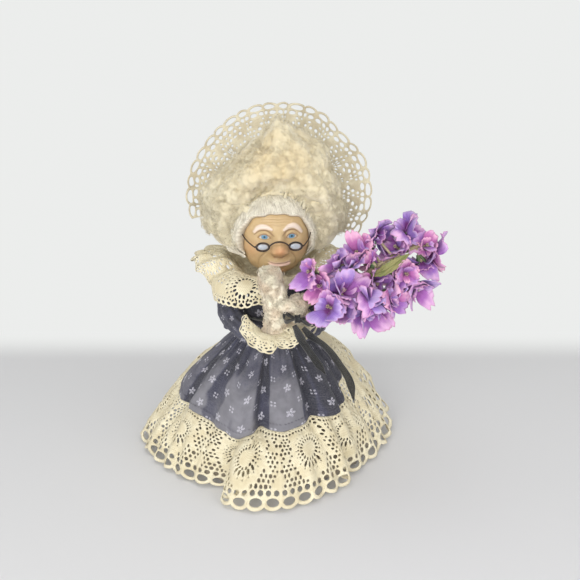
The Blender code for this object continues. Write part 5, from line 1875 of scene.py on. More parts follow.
            # The fold over each eye is painted shade, in the crease paint and a little of the dark
            # paint
            crease_shade = ((eye_x - .0074, eye_z + .0014), (eye_x - .0030, eye_z + .0047),
                      (eye_x + .0024, eye_z + .0048), (eye_x + .0072, eye_z + .0012))
            fold = self.stroke(x, z, crease_shade, 0.0005, 0.0006)
            low = self.stroke(x, z, self.lid_line(eye_x, eye_z, -0.0020), 0.0002, 0.0005)
            masks["dark"] += 0.75 * lid + 0.3 * low + 0.25 * fold
            masks["crease_shade"] += 1.25 * fold
            hairs = 0.82 + 0.18 * np.sin(x * 9000.0 + z * 2500.0)
            masks["white"] = np.maximum(masks["white"],
                                        self.stroke(x, z, brow, 0.0019, 0.0006) * hairs)
        mouth_x, mouth_z = self.mouth
        smile = mouth_z + self.smile_bend * (x - mouth_x) ** 2
        span = ease((0.0095 - np.abs(x - mouth_x)) / 0.0025)
        upper = ease(((z - smile) + 0.0002) / 0.0005) * ease((smile + 0.0020 - z) / 0.0006)
        lower = ease((smile - z) / 0.0005) * ease((z - smile + 0.0030) / 0.0007)
        masks["lip"] += span * np.maximum(0.45 * upper, lower)
        # Painted shade in the mouth's line and under the lower lip
        masks["crease_shade"] += span * np.exp(-((z - smile) / 0.0005) ** 2)
        masks["crease_shade"] += 0.6 * np.exp(-((z - mouth_z + 0.0048) / 0.0008) ** 2) * ease(
            (0.0060 - np.abs(x - mouth_x)) / 0.002)
        return {name: np.clip(mask, 0.0, 1.0).ravel() for name, mask in masks.items()}

    def make_face(self) -> None:
        """Make the moulded head."""
        front = np.linspace(-self.face_turn, self.face_turn, self.face_columns)
        rest = np.linspace(self.face_turn, 360.0 - self.face_turn, self.back_columns)[1:-1]
        turn = np.radians(np.concatenate([front, rest]))
        top = self.middle[2] + self.half[2]
        height = np.concatenate([np.linspace(self.neck_low, self.chin, 8)[:-1],
                                 np.linspace(self.chin, self.face_top, self.face_rows),
                                 top - 0.0080 * (1.0 - shares(14)[1:]) ** 2])
        level = np.sqrt(np.clip(1.0 - ((height - self.middle[2]) / self.half[2]) ** 2, 0, 1))
        neck = self.neck_radius * (height < self.middle[2])
        x = np.maximum(self.half[0] * level, neck)[:, None] * np.sin(turn)[None]
        y = -np.maximum(self.half[1] * level, neck)[:, None] * np.cos(turn)[None]
        z = np.broadcast_to((height - self.middle[2])[:, None], x.shape)
        facing = ease((np.cos(turn)[None] * level[:, None] - 0.05) / 0.5)
        y = y - self.relief(x, z) * facing
        points = stacked(x, y, z) + self.middle
        points = points + 0.00025 * soft_noise(points, 0.010, 31)[..., None] * unit(
            stacked(x, y, z))
        bore = [stacked(self.socket_radius * np.sin(turn), -self.socket_radius * np.cos(turn), end)
                for end in (self.socket_top, self.neck_low)]
        whole = np.concatenate([self.turned(points), bore])
        rows, count = x.shape
        ring, last = np.arange(count), rows * count
        walls = grid_faces(rows, count, ring=True)
        inner = grid_faces(2, count, ring=True) + last
        lip = stacked(ring, last + count + ring, last + count + (ring + 1) % count,
                      (ring + 1) % count)
        caps = [(last - count + ring)[None], (last + ring)[None]]
        values = {name: np.concatenate([mask * facing.ravel(), np.zeros(2 * count)])
                  for name, mask in self.paints(x, z).items()}
        item = build("painted_head", whole, [walls, inner, lip, *caps], self.wardrobe.skin,
                     values)
        settle(item, Body.HEAD, "skin", "moulded_head")

    def fringe_place(self, bearing: Array, share: Array, outside: Array | float) -> Array:
        """Give points over the head where the combed hair lies.

        Args:
            bearing: Bearings about the face's axis.
            share: Shares from the inner to the outer edge.
            outside: Heights over the head.

        Returns:
            The points.
        """
        inner, outer = eased_table(self.fringe_angles, np.abs(bearing))
        angle = (inner + (outer - inner) * share) * math.pi / 2.0
        turn = np.radians(bearing)
        grow = self.fringe_clearance + outside
        return self.turned(stacked(
            self.middle[0] + (self.half[0] + grow) * np.sin(angle) * np.sin(turn),
            self.middle[1] - (self.half[1] + grow) * np.cos(angle),
            self.middle[2] + (self.half[2] + grow) * np.sin(angle) * np.cos(turn)))

    def fringe_arch(self, share: Array) -> Array:
        """Give the roll's height from its inner to its outer edge, as a share."""
        return np.sin(math.pi * np.clip(share * 0.76 + 0.07, 0.0, 1.0)) ** 0.5

    def fringe_ends(self, bearing: Array, span: float) -> Array:
        """Thin the roll towards its two ends."""
        return 0.2 + 0.8 * ease((span - np.abs(bearing)) / 16.0)

    def make_fringe(self) -> None:
        """Make the combed hair: a grooved roll with strands over it."""
        rows, columns = self.fringe_grid
        bearing = np.linspace(-self.fringe_span, self.fringe_span, columns)[None]
        share = shares(rows)[:, None]
        swing = np.abs(bearing - self.parting) + 62.0 * share
        groove = (np.sin(swing * 1.25 + 2.0 * np.sin(swing * 0.13))
                  + 0.6 * np.sin(swing * 3.1 + 1.5 * np.sin(bearing * 0.21)))
        swell = self.fringe_arch(share)
        depth = eased_table(self.fringe_depths, bearing)[0]
        thick = ((depth * (0.16 + 0.66 * swell) + 0.00042 * groove * swell)
                 * self.fringe_ends(bearing, self.fringe_span))
        whole = np.concatenate([self.fringe_place(bearing, share, thick),
                                self.fringe_place(bearing, share, 0.0)[::-1]])
        shell = (whole.reshape(-1, 3), [grid_faces(len(whole), columns, hoop=True)])
        # Painted shade in the roll's grooves, and full shade on its inner side; the strands' own
        # tones are drawn at random
        deep = np.concatenate([np.broadcast_to(0.30 - 0.38 * groove, thick.shape),
                               np.ones(thick.shape)]).ravel()
        draw = np.random.default_rng(40)
        count, stops = self.strands, self.strand_stops
        start = draw.uniform(-1.0, 1.0, count) * self.fringe_span
        start[::6] = self.parting + 0.13 * start[::6]
        run = shares(stops)[None]
        begin = draw.uniform(0.30, 1.06, count)[:, None]
        path_share = np.maximum(begin - draw.uniform(0.35, 0.95, count)[:, None] * run, 0.01)
        sweep = np.sign(start - self.parting) * draw.uniform(*self.strand_sweeps, count)
        sweep = sweep * (0.15 + 0.85 * ease(np.abs(start - self.parting) / 30.0))
        path_bearing = (start[:, None] + sweep[:, None] * run ** 0.9
                        + draw.normal(0.0, 1.2, (count, 1)) * np.sin(run * 4.0))
        path_bearing = np.clip(path_bearing, -self.fringe_span - 5.0, self.fringe_span + 5.0)
        lift = (eased_table(self.fringe_depths, path_bearing)[0]
                * (0.18 + 0.66 * self.fringe_arch(path_share))
                + draw.uniform(0.0, 0.0006, count)[:, None])
        lift = lift * self.fringe_ends(path_bearing, self.fringe_span + 4.0)
        paths = self.fringe_place(path_bearing, path_share, lift)
        radii = draw.uniform(*self.strand_radii, count)[:, None] * (1.0 - 0.6 * run ** 3)
        points, faces = merge([shell, tubes(paths, radii, 3)])
        shade = np.repeat(draw.uniform(0.0, 0.9, count) ** 2, stops * 3)
        deep = np.concatenate([deep, shade])
        item = build("combed_hair", points, faces, self.wardrobe.hair,
                     {"deep": np.clip(deep, 0.0, 1.0), "tint": self.hair_tint(points)})
        settle(item, Body.HEAD, "white_hair", "hair_fringe")

    def hair_tint(self, points: Array) -> Array:
        """Tint the hair next to the face.

        Args:
            points: The hair's points.

        Returns:
            The tint's share at each.
        """
        local = self.turned(points, back=True) - self.middle
        across = np.hypot(local[:, 0] / 0.0235, (local[:, 2] - 0.001) / 0.0175)
        return 0.35 * ease((1.12 - across) / 0.18) * (local[:, 1] < -0.016)

    def wool_tint(self, points: Array) -> Array:
        """Warm the wool's colour at the top and the middle of the front.

        Args:
            points: The wool's points.

        Returns:
            The tint's share at each.
        """
        x = points[:, 0] - 0.006
        warm = bell(x, points[:, 2] - 0.248, 0.030, 0.026) * ease((0.012 - points[:, 1]) / 0.02)
        cloud = 0.5 + 0.5 * soft_noise(points, 0.020, 50)
        return np.clip(warm * (0.35 + 0.6 * cloud), 0.0, 0.8)

    def snug(self, points: Array) -> Array:
        """Draw the wool round the face in against the combed hair.

        Args:
            points: The wool's points.

        Returns:
            The moved points.
        """
        local = self.turned(points, back=True) - self.middle
        wide, deep, tall = self.wool_hug
        across, up = local[:, 0] / wide, local[:, 2] / tall
        reach = np.hypot(across, up)
        bearing = np.degrees(np.arctan2(across, up))
        near = ease((1.42 - reach) / 0.42)
        front = ease((-0.008 - local[:, 1]) / 0.02)
        share = 0.02 + 0.09 * ease((88.0 - np.abs(bearing)) / 45.0)
        drawn = reach - share * near * front
        rest = -deep * np.sqrt(1.0 - np.minimum(drawn, 0.95) ** 2) - 0.001
        local[:, 0] *= drawn / reach
        local[:, 2] *= drawn / reach
        local[:, 1] += np.maximum(rest - local[:, 1], 0.0) * near
        return self.turned(local + self.middle)

    def teased(self, points: Array) -> Array:
        """Tease the wool's rim out to a peak over the brow and in beside it.

        Args:
            points: The wool's points.

        Returns:
            The moved points.
        """
        middle_x, middle_z = self.rim_middle
        across, up = points[:, 0] - middle_x, points[:, 2] - middle_z
        reach = np.hypot(across, up)
        share = eased_table(self.wool_shares, np.degrees(np.arctan2(across, up)))[0]
        grow = 1.0 + (share - 1.0) * ease((reach - 0.034) / 0.024)
        return stacked(middle_x + across * grow, points[:, 1], middle_z + up * grow)

    def make_wool(self) -> None:
        """Make the tufts of curly fleece."""
        for index, (node, count, puffs) in enumerate(self.tufts):
            item = copied_solid(node, self.tuft_cell)
            faces = [np.array([list(face.vertices) for face in item.data.polygons
                               if len(face.vertices) == corners]) for corners in (3, 4)]
            faces = [group for group in faces if len(group)]
            set_points(item, self.snug(mesh_points(item)[0]))
            points, normals = mesh_points(item)
            bpy.data.objects.remove(item)
            outward = unit(points - self.wool_middle)
            free = np.maximum((normals * outward).sum(1), -normals[:, 1] - 0.1)
            free = ease((free - 0.05) / 0.5)
            free = np.maximum(free, 0.7 * ease((-0.002 - points[:, 1]) / 0.008))
            free = free * (1.0 - 0.7 * ease((normals[:, 1] - 0.5) / 0.3))
            under = ease((-normals[:, 2] - 0.25) / 0.35) * (points[:, 2] < self.wool_under)
            free = free * (1.0 - under)
            outside = np.flatnonzero(free > 0.55)
            draw = np.random.default_rng(80 + index)
            seeds = points[draw.choice(outside, puffs)]
            height = puff_height(points, seeds, draw.uniform(*self.puff_sizes, puffs))
            height = (height - 0.0016 + 0.0007 * soft_noise(points, 0.0050, 62)
                      + 0.0003 * soft_noise(points, 0.0026, 63))
            points = self.teased(points + normals * (height * free)[:, None])
            # Painted shade: the wool darkens where it sinks between its puffs
            shade = 0.8 * np.clip(0.62 - height / 0.0040, 0.0, 1.0)
            stops = 7
            paths = curl_paths(points[outside], normals[outside], count, 70 + index,
                               self.curl_sizes, stops)
            run = shares(stops)[None]
            radii = draw.uniform(0.00009, 0.00019, count)[:, None] * (1.0 - 0.5 * run ** 2)
            whole, all_faces = merge([(points, faces), tubes(paths, radii, 3)])
            deep = np.concatenate([shade, np.repeat(draw.uniform(0.0, 0.3, count), stops * 3)])
            tuft = build(node.replace("wool", "fleece"), whole, all_faces, self.wardrobe.wool,
                         {"deep": deep, "tint": self.wool_tint(whole)})
            settle(tuft, Body.HEAD, "wool", node)

    def bonnet_surface(self, along: Array, down: Array) -> Array:
        """Give points of the bonnet's brim.

        Args:
            along: Shares along the lace.
            down: Shares down it.

        Returns:
            The points.
        """
        low, high = self.bonnet_span
        angle = low + (high - low) * along
        turn = np.radians(angle)
        inner = self.crown_radius + self.bonnet_gap
        edge = self.bonnet_edge * eased_table(self.bonnet_shares, angle)[0]
        phase = turn * self.bonnet_ruffles + 1.4 * np.sin(turn * 4.0)
        radius = inner + (edge - inner) * down
        lean = self.bonnet_side_lean + self.bonnet_lean * np.maximum(0.0, np.cos(turn))
        y = self.bonnet_middle[1] + (radius - inner) * lean
        y = y + 0.0034 * ease(down * 1.4) * np.sin(phase) * (0.6 + 0.4 * np.sin(turn * 3.0))
        swing = turn + 0.020 * np.cos(phase) * np.sin(math.pi * down * 0.8)
        return stacked(self.bonnet_middle[0] + radius * np.sin(swing), y,
                       self.bonnet_middle[2] + radius * np.cos(swing))

    def make_bonnet(self) -> None:
        """Make the bonnet's brim and its gathered crown."""
        brim = sew_lace("bonnet_brim", self.bonnet_pattern, self.bonnet_repeats,
                        self.bonnet_surface, self.wardrobe.bonnet, 0.0009)
        settle(brim, Body.HEAD, "bonnet_lace", "bonnet_lace")
        declare_sheet((self.bonnet_pattern.repeat * self.bonnet_repeats,
                             self.bonnet_pattern.depth), self.bonnet_pattern.cover)
        rows, columns = self.crown_grid
        rise = np.linspace(0.0, math.pi / 2.0, rows)[:, None]
        turn = np.linspace(0.0, FULL_TURN, columns, endpoint=False)[None]
        gather = (np.cos(turn * self.crown_gathers + 1.5 * np.sin(turn * 6.0))
                  * np.sin(rise * 2.0) ** 0.5)
        wide = np.maximum(self.crown_radius * np.cos(rise), 0.0004)
        wide = wide * (1.0 + 0.022 * gather)
        y = self.bonnet_middle[1] + self.crown_depth * np.sin(rise) + 0.0004 * gather
        points = stacked(self.bonnet_middle[0] + wide * np.sin(turn), y,
                         self.bonnet_middle[2] + wide * np.cos(turn))
        cloth = stacked(turn * self.crown_radius, rise * self.crown_radius, 0.0)
        rim = 0.25 + 0.25 * np.cos(turn * self.crown_gathers) * np.cos(rise * 14.0)
        cap = build("bonnet_cap", points, [grid_faces(rows, columns, ring=True),
                                           (np.arange(columns) + (rows - 1) * columns)[None]],
                    self.wardrobe.bonnet, {"cloth": cloth.reshape(-1, 3), "rim": rim.ravel()})
        thicken(cap, self.crown_wall, -1.0)
        settle(cap, Body.HEAD, "bonnet_lace", "bonnet_crown")
        declare_sheet(self.crown_flat, 0.75)

    def make(self) -> None:
        """Make every piece."""
        self.make_face()
        self.make_fringe()
        self.make_wool()
        self.make_bonnet()


@dataclass
class Spectacles:
    """Wire spectacles with oval rims, low on the nose."""

    wardrobe: Wardrobe
    head: Head
    half: Pair = (0.0049, 0.0031)
    wire: float = 0.00075
    spacing: float = 0.0126
    reach: float = 0.0408
    height: float = 0.1842
    bridge_rise: float = 0.0036
    bridge_wire: float = 0.0006
    temple_wire: float = 0.0005
    temple_end: Place = (0.0270, 0.0215, 0.1905)

    def place(self, x: Array, reach: Array, height: Array) -> Array:
        """Give places before the face."""
        return self.head.turned(stacked(self.head.middle[0] + x, -reach, height))

    def make_frame(self) -> None:
        """Make both rims, the bridge and the hinge beads."""
        turn = np.linspace(0.0, FULL_TURN, 73)
        parts = []
        for side, _ in SIDES:
            ring = self.place(side * self.spacing + self.half[0] * np.cos(turn),
                              self.reach + 0.0006 * np.cos(turn) ** 2,
                              self.height + self.half[1] * np.sin(turn))
            parts.append(tubes(ring[None], self.wire, 10))
            joint = side * (self.spacing + self.half[0])
            bead = self.place(np.linspace(joint, joint + side * 0.0013, 4), self.reach,
                              self.height + np.linspace(0.0, 0.0004, 4))
            parts.append(tubes(bead[None], np.array([0.0007, 0.0008, 0.0008, 0.0006]), 10))
        inner = self.spacing - self.half[0]
        share = shares(25)
        bridge = self.place(inner * (2.0 * share - 1.0) * (1.0 + 0.3 * np.sin(math.pi * share)),
                            self.reach, self.height + self.bridge_rise * np.sin(math.pi * share))
        parts.append(tubes(bridge[None], self.bridge_wire, 10))
        points, faces = merge(parts)
        item = build("spectacle_rims", points, faces, self.wardrobe.rim)
        settle(item, Body.SPECTACLES, "rim_wire", "spectacle_frame")

    def make_temples(self) -> None:
        """Make the two temples."""
        for side, name in SIDES:
            start = side * (self.spacing + self.half[0] + 0.0012)
            share = shares(17)
            x = start + (side * self.temple_end[0] - start) * share
            x = x + side * 0.0012 * np.sin(math.pi * share)
            reach = self.reach + (self.temple_end[1] - self.reach) * share
            height = self.height + (self.temple_end[2] - self.height) * share
            path = self.place(x, reach, height)
            points, faces = tubes(path[None], self.temple_wire, 10)
            item = build("temple_wire_" + name, points, faces, self.wardrobe.rim)
            settle(item, Body.SPECTACLES, "rim_wire", "temple_" + name)

    def make_lenses(self) -> None:
        """Make the two lenses, a little domed."""
        turn = np.linspace(0.0, FULL_TURN, 64, endpoint=False)[None]
        share = np.linspace(0.02, 1.0, 10)[:, None]
        half = (self.half[0] - self.wire - 0.0002, self.half[1] - self.wire - 0.0002)
        for side, name in SIDES:
            faces = []
            for sign in (1.0, -1.0):
                dome = self.reach + sign * 0.00025 + 0.0004 * (1.0 - share ** 2)
                faces.append(self.place(side * self.spacing + half[0] * share * np.cos(turn),
                                        dome, self.height + half[1] * share * np.sin(turn)))
            whole = np.concatenate([faces[0], faces[1][::-1]])
            ends = [np.arange(64)[None], (np.arange(64) + 19 * 64)[None]]
            item = build("lens_glass_" + name, whole, [grid_faces(20, 64, ring=True), *ends],
                         self.wardrobe.lens)
            settle(item, Body.SPECTACLES, "lens", "lens_" + name)

    def make(self) -> None:
        """Make every piece."""
        self.make_frame()
        self.make_temples()
        self.make_lenses()


# Hands and bouquet


@dataclass
class Hands:
    """The looped yarn mittens and their lace cuffs."""

    wardrobe: Wardrobe
    grip: Place = (0.0205, -0.0675, 0.1440)
    reach: float = 0.060
    radius: float = 0.010
    # Places from the grip as shares of the reach, and the radius share
    right: tuple = (
        (-.372, .130, -.420, .52), (-.325, .083, -.375, .70), (-.267, .025, -.233, .88),
        (-.267, .008, .017, .90), (-.300, .017, .233, .92), (-.342, .033, .417, .82),
        (-.350, .042, .508, .48))
    left: tuple = (
        (.028, .162, -.353, .50), (.022, .108, -.283, .62), (.015, .025, -.117, .68),
        (.005, -.025, .067, .66), (0, -.042, .158, .36))
    thumb: tuple = ((-.235, -.02, .02, .46), (-.150, -.10, .05, .44), (-.060, -.12, .06, .40),
                    (.010, -.10, .055, .26))
    # Nubs and loops of yarn
    right_counts: tuple[int, int] = (420, 2300)
    left_counts: tuple[int, int] = (260, 1000)
    nub_sizes: Pair = (0.0014, 0.0034)
    loop_sizes: Pair = (0.0007, 0.0019)
    wrist_share: float = 0.40
    clearance: float = 0.0012
    right_lace: LacePattern = field(default_factory=lambda: LacePattern(
        repeat=0.0310, depth=0.0240, picots=4, scallop=0.0010, picot_hole=(0.0024, 0.0013),
        picot_level=0.0212, big_level=0.0172, big_hole=(0.0011, 0.0011), net_count=9,
        net_hole=0.0011, net_levels=(0.0138, 0.0108), header_level=0.0017, top_level=0.0065,
        top_hole=0.0008, fan_half=(0.0, 0.0), rings=(), slot_turns=(), pin_arcs=(), cover=0.65))
    left_lace: LacePattern = field(default_factory=lambda: LacePattern(
        repeat=0.0200, depth=0.0125, picots=2, picot_hole=(0.0033, 0.0019), picot_level=0.0092,
        big_level=0.0052, big_hole=(0.0014, 0.0011), net_count=5, net_levels=(),
        header_level=0.0010, header_hole=0.0004, top_level=0.0026, top_hole=0.0006,
        fan_half=(0.0, 0.0), rings=(), slot_turns=(), pin_arcs=(), cover=0.65))
    # Free edge from the wrist, and the bearings that it is gathered between
    right_edge: tuple = (
        (-.0200, .0020, .0125), (-.0240, -.0015, .0085), (-.0245, -.0045, .0015),
        (-.0185, -.0085, -.0075), (-.0090, -.0125, -.0125), (-.0010, -.0145, -.0130),
        (.0030, -.0140, -.0080), (-.0010, -.0110, -.0035), (.0045, -.0150, -.0080),
        (.0120, -.0170, -.0080), (.0185, -.0165, -.0050), (.0210, -.0135, 0),
        (.0165, -.0090, .0060))
    left_edge: tuple = (
        (-.0110, -.0115, -.0060), (-.0030, -.0140, -.0100), (.0040, -.0140, -.0095),
        (.0110, -.0090, -.0060), (.0150, -.0030, -.0020))
    seam_span: Pair = (-95.0, 55.0)

    def stops(self, side: str) -> Array:
        """Give a mitten's middle line in the frame, with its radius share."""
        table = np.array(self.right if side == "right" else self.left, float)
        return np.column_stack([table[:, :3] * self.reach + self.grip, table[:, 3]])

    def make_mitten(self, side: str) -> None:
        """Make one mitten: a stuffed form with loops of yarn all over it.

        Args:
            side: The hand's side.
        """
        path = smooth_path(self.stops(side), 16)
        nubs, count = self.right_counts if side == "right" else self.left_counts
        columns = 68
        share = shares(len(path))
        radii = self.radius * path[:, 3] * 0.86
        radii = radii * ease(share / 0.06 + 0.25) * ease((1.0 - share) / 0.08 + 0.15)
        points, faces = tubes(path[None, :, :3], np.maximum(radii, 0.0008)[None], columns)
        rings = points.reshape(len(path), columns, 3)
        out = unit(rings - path[:, None, :3])
        draw = np.random.default_rng(93)
        seeds = rings.reshape(-1, 3)[draw.integers(0, rings.size // 3, nubs)]
        lump = puff_height(rings.reshape(-1, 3), seeds, draw.uniform(*self.nub_sizes, nubs))
        lump = lump.reshape(rings.shape[:2]) - 0.0005 + 0.0002 * soft_noise(rings, 0.003, 91)
        rings = rings + out * lump[..., None]
        parts = [(rings.reshape(-1, 3), faces)]
        middles = [path[:, None, :3].repeat(columns, 1).reshape(-1, 3)]
        if side == "right":
            thumb = np.array(self.thumb, float)
            thumb[:, :3] = thumb[:, :3] * self.reach + self.grip
            thumb = smooth_path(thumb, 8)
            parts.append(tubes(thumb[None, :, :3], self.radius * thumb[None, :, 3], 24))
            middles.append(thumb[:, None, :3].repeat(24, 1).reshape(-1, 3))
        core, core_faces = merge(parts)
        normals = unit(core - np.concatenate(middles))
        loops = curl_paths(core, normals, count, 92, self.loop_sizes, 7)
        yarn = tubes(loops, draw.uniform(0.00012, 0.00025, count)[:, None], 3)
        whole, all_faces = merge([(core, core_faces), yarn])
        # Painted shade in the hollows between the nubs
        sunk = np.clip(0.75 - lump.ravel() / 0.0009, 0.0, 1.0)
        deep = np.concatenate([sunk, np.full(len(core) - len(sunk), 0.25),
                               np.repeat(draw.uniform(0.0, 0.4, count), 21)])
        tint = np.clip(0.25 + 0.4 * soft_noise(whole, 0.012, 95), 0.0, 0.7)
        item = build("mitten_yarn_" + side, whole, all_faces, self.wardrobe.boucle,
                     {"deep": np.clip(deep, 0.0, 1.0), "tint": tint})
        settle(item, Body.ARMS, "boucle", "mitten_" + side)

    def make_cuff(self, side: str, pattern: LacePattern, edge: tuple, repeats: float,
                  flat: Pair) -> None:
        """Make one ruffle of lace round a wrist.

        Args:
            side: The hand.
            pattern: The lace.
            edge: Places of the free edge from the wrist's middle.
            repeats: Length in repeats.
            flat: Size of the cloth before it is gathered.
        """
        stops = self.stops(side)
        middle = stops[1] + (stops[2] - stops[1]) * self.wrist_share
        free = smooth_path(edge, 12)
        length = run_length(free)

        def surface(along: Array, down: Array) -> Array:
            """Give points of the cuff.

            Args:
                along: Shares along the lace.
                down: Shares down it.

            Returns:
                The points.
            """
            low, high = self.seam_span
            seam = polar(self.radius * middle[3] + self.clearance, low + (high - low) * along, 0.0)
            point = seam + (read_path(free, length, along * length[-1]) - seam) * down[:, None]
            wave = along * FULL_TURN * pattern.picots * repeats / 1.5
            bulge = 0.0030 * np.sin(math.pi * down) + 0.0011 * down * np.sin(wave)
            return point + unit(seam + (0.0, -0.002, 0.004)) * bulge[:, None] + middle[:3]

        item = sew_lace("cuff_frill_" + side, pattern, repeats, surface, self.wardrobe.lace, 0.0007)
        settle(item, Body.ARMS, "lace", "cuff_lace_" + side)
        declare_sheet(flat, pattern.cover)

    def make(self) -> None:
        """Make every piece."""
        for side in ("right", "left"):
            self.make_mitten(side)
        self.make_cuff("right", self.right_lace, self.right_edge, 3.0, (0.0660, 0.0240))
        self.make_cuff("left", self.left_lace, self.left_edge, 1.5, (0.0300, 0.0125))


@dataclass
class Bouquet:
    """The spray of cloth florets with its stems, leaf and ribbon."""

    wardrobe: Wardrobe
    grip: Place = (0.0205, -0.0675, 0.1440)
    reach: float = 0.120
    stem_radius: float = 0.0017
    side_radius: float = 0.0013
    stem: tuple = ((-.1792, .0083, -.0250), (0, 0, 0), (.1625, .0042, .0667),
                   (.3458, .0292, .1667), (.5375, .0792, .2750), (.7625, .1458, .3667))
    side_stem: tuple = ((0, -.0042, -.0583), (.1042, -.0208, -.0458), (.2458, -.0375, -.0083),
                        (.3792, -.0375, .0333))
    floret_radius: float = 0.0135
    # Middle, size, and whether it grows from the side stem
    florets: tuple = (
        (.365, .060, .335, .85, 0), (.510, .150, .420, .85, 0), (.705, .160, .445, 1.05, 0),
        (.870, .180, .300, 1.00, 0), (.270, -.135, .150, 1.0, 0), (.450, -.125, .100, .80, 0),
        (.580, -.060, .080, .85, 0), (.750, .050, .110, .85, 0), (.430, -.085, .000, .90, 1),
        (.068, -.040, .245, .80, 0), (.180, -.190, .070, .95, 1), (.235, .030, .270, .80, 0),
        (.655, -.045, .230, .70, 0), (.300, .060, .020, .75, 1))
    pink: tuple[int, ...] = (0, 3, 6, 9, 12)
    # Floret that carries a second blossom, its middle and size
    seconds: tuple = (
        (2, .615, .146, .352, .85), (7, .788, .129, .233, .85), (4, .348, -.104, .110, .85),
        (10, .272, -.121, .027, .85), (11, .330, .020, .290, .75), (5, .538, -.075, .040, .75),
        (1, .440, .100, .400, .65), (6, .600, .010, .175, .75), (12, .480, -.030, .165, .75),
        (0, .440, .040, .290, .65), (9, .130, -.080, .165, .70), (4, .200, -.060, .150, .70),
        (7, .660, .020, .080, .75), (3, .800, .120, .370, .70))
    petals: int = 5
    inner_petals: int = 4
    petal_rows: int = 11
    petal_columns: int = 13
    bloom: float = 1.18
    tube_radius: float = 0.0011
    leaf_route: tuple = ((.4317, .0325, .2050), (.4667, -.0417, .2292), (.5208, -.0958, .2683),
                         (.5917, -.0958, .3183), (.6625, -.0542, .3567))
    leaf_half: float = 0.0037
    bow_middle: Place = (0.0205, -0.0760, 0.1385)
    bow_half: Pair = (0.0100, 0.0048)
    tail_reach: float = 0.080
    ribbon_width: float = 0.0066
    ribbon_lean: float = 0.35
    long_tail: tuple = ((.050, -.015, -.081), (.124, -.044, -.154), (.226, -.038, -.233),
                        (.314, 0, -.338), (.395, .044, -.470), (.499, .087, -.658),
                        (.559, .137, -.919))
    short_tail: tuple = ((-.031, -.015, -.059), (.044, -.065, -.194), (.144, -.031, -.363),
                         (.269, -.019, -.549))

    def route(self, table: tuple, start: tuple, reach: float, per_span: int = 8) -> Array:
        """Give a smooth route from a table of shares of a reach."""
        return smooth_path(np.array(table, float) * reach + start, per_span)

    def blade_values(self, across: Array, along: Array) -> dict[str, Array]:
        """Give the point values that petals and foliage read."""
        return {"petal": stacked(across, along, 0.0).reshape(-1, 3)}

    def make_stem(self, name: str, table: tuple, radius: float, seed: int) -> None:
        """Make one wrapped stem with its nodes.

        Args:
            name: The stem's node.
            table: Its route in shares of the reach.
            radius: Its radius.
            seed: Shift of its nodes along it.
        """
        path = self.route(table, self.grip, self.reach, 14)
        length = run_length(path)
        swell = 1.0 + 0.10 * np.sin(length * FULL_TURN / 0.0042) + 0.18 * np.exp(
            -(((length + seed * 0.003) % 0.017 - 0.008) / 0.0012) ** 2)
        radii = np.minimum(radius * 0.92 * swell, radius * 1.12)
        points, faces = tubes(path[None], radii[None], 14)
        along = np.repeat(length / 0.03, 14)
        across = np.tile(np.linspace(0.3, 1.0, 14), len(path))
        item = build(name + "_wrapped", points, faces, self.wardrobe.stem,
                     self.blade_values(across, along))
        settle(item, Body.ARMS, "stem", name)

    def nearest(self, path: Array, place: Array) -> Array:
        """Give the point of a path nearest to a place."""
        return path[np.linalg.norm(path - place, axis=1).argmin()]

    def petal_mesh(self, axis: Array, side: Array, centre: Array, radius: float,
                   draw: np.random.Generator) -> tuple[Array, Array, Array]:
        """Shape the petals of one floret.

        Args:
            axis: The way that the floret faces.
            side: A direction across it.
            centre: Its middle.
            radius: Its reach.
            draw: The draw of its ruffles.

        Returns:
            The points, the quads and each point's place across and along its petal.
        """
        other = np.cross(axis, side)
        along = shares(self.petal_rows)[:, None]
        across = np.linspace(-1.0, 1.0, self.petal_columns)[None]
        tip = (1.0 - 0.20 * np.abs(across) ** 2.5
               - 0.11 * (1.0 - np.abs(np.cos(1.5 * math.pi * across))))
        run = along * tip
        fan = 0.16 + 0.84 * np.sin(math.pi * (0.05 + 0.62 * along)) ** 1.4
        grid = grid_faces(self.petal_rows, self.petal_columns)
        points, faces, places = [], [], []
        for number in range(self.petals + self.inner_petals):
            inside = number >= self.petals
            share = number / (self.inner_petals if inside else self.petals)
            turn = FULL_TURN * share + draw.uniform(-0.28, 0.28)
            size = radius * draw.uniform(0.75, 1.20) * (0.66 if inside else 1.0)
            half = size * draw.uniform(0.46, 0.68) * fan
            rise = draw.uniform(0.20, 1.30) + 0.5 * inside
            lift = rise * run - draw.uniform(-0.15, 1.10) * run ** 2.2
            lift = lift + draw.uniform(-0.30, 0.42) * across ** 2 * along
            lift = lift + draw.uniform(-0.40, 0.40) * across * along
            wave = draw.uniform(5.0, 9.0) * across + draw.uniform(0.0, FULL_TURN)
            lift = lift + 0.075 * along ** 2 * np.sin(wave) + 0.035 * along ** 3 * np.sin(
                2.3 * wave)
            out = side * math.cos(turn) + other * math.sin(turn)
            over = other * math.cos(turn) - side * math.sin(turn)
            place = (centre + out * ((0.06 + 0.94 * run) * size)[..., None]
                     + over * (half * across)[..., None] + axis * (lift * size)[..., None])
            faces.append(grid + len(points) * run.size)
            points.append(place.reshape(-1, 3))
            hue = draw.uniform(0.0, 1.0)
            places.append(stacked(across, along, hue).reshape(-1, 3))
        return np.vstack(points), np.vstack(faces), np.vstack(places)

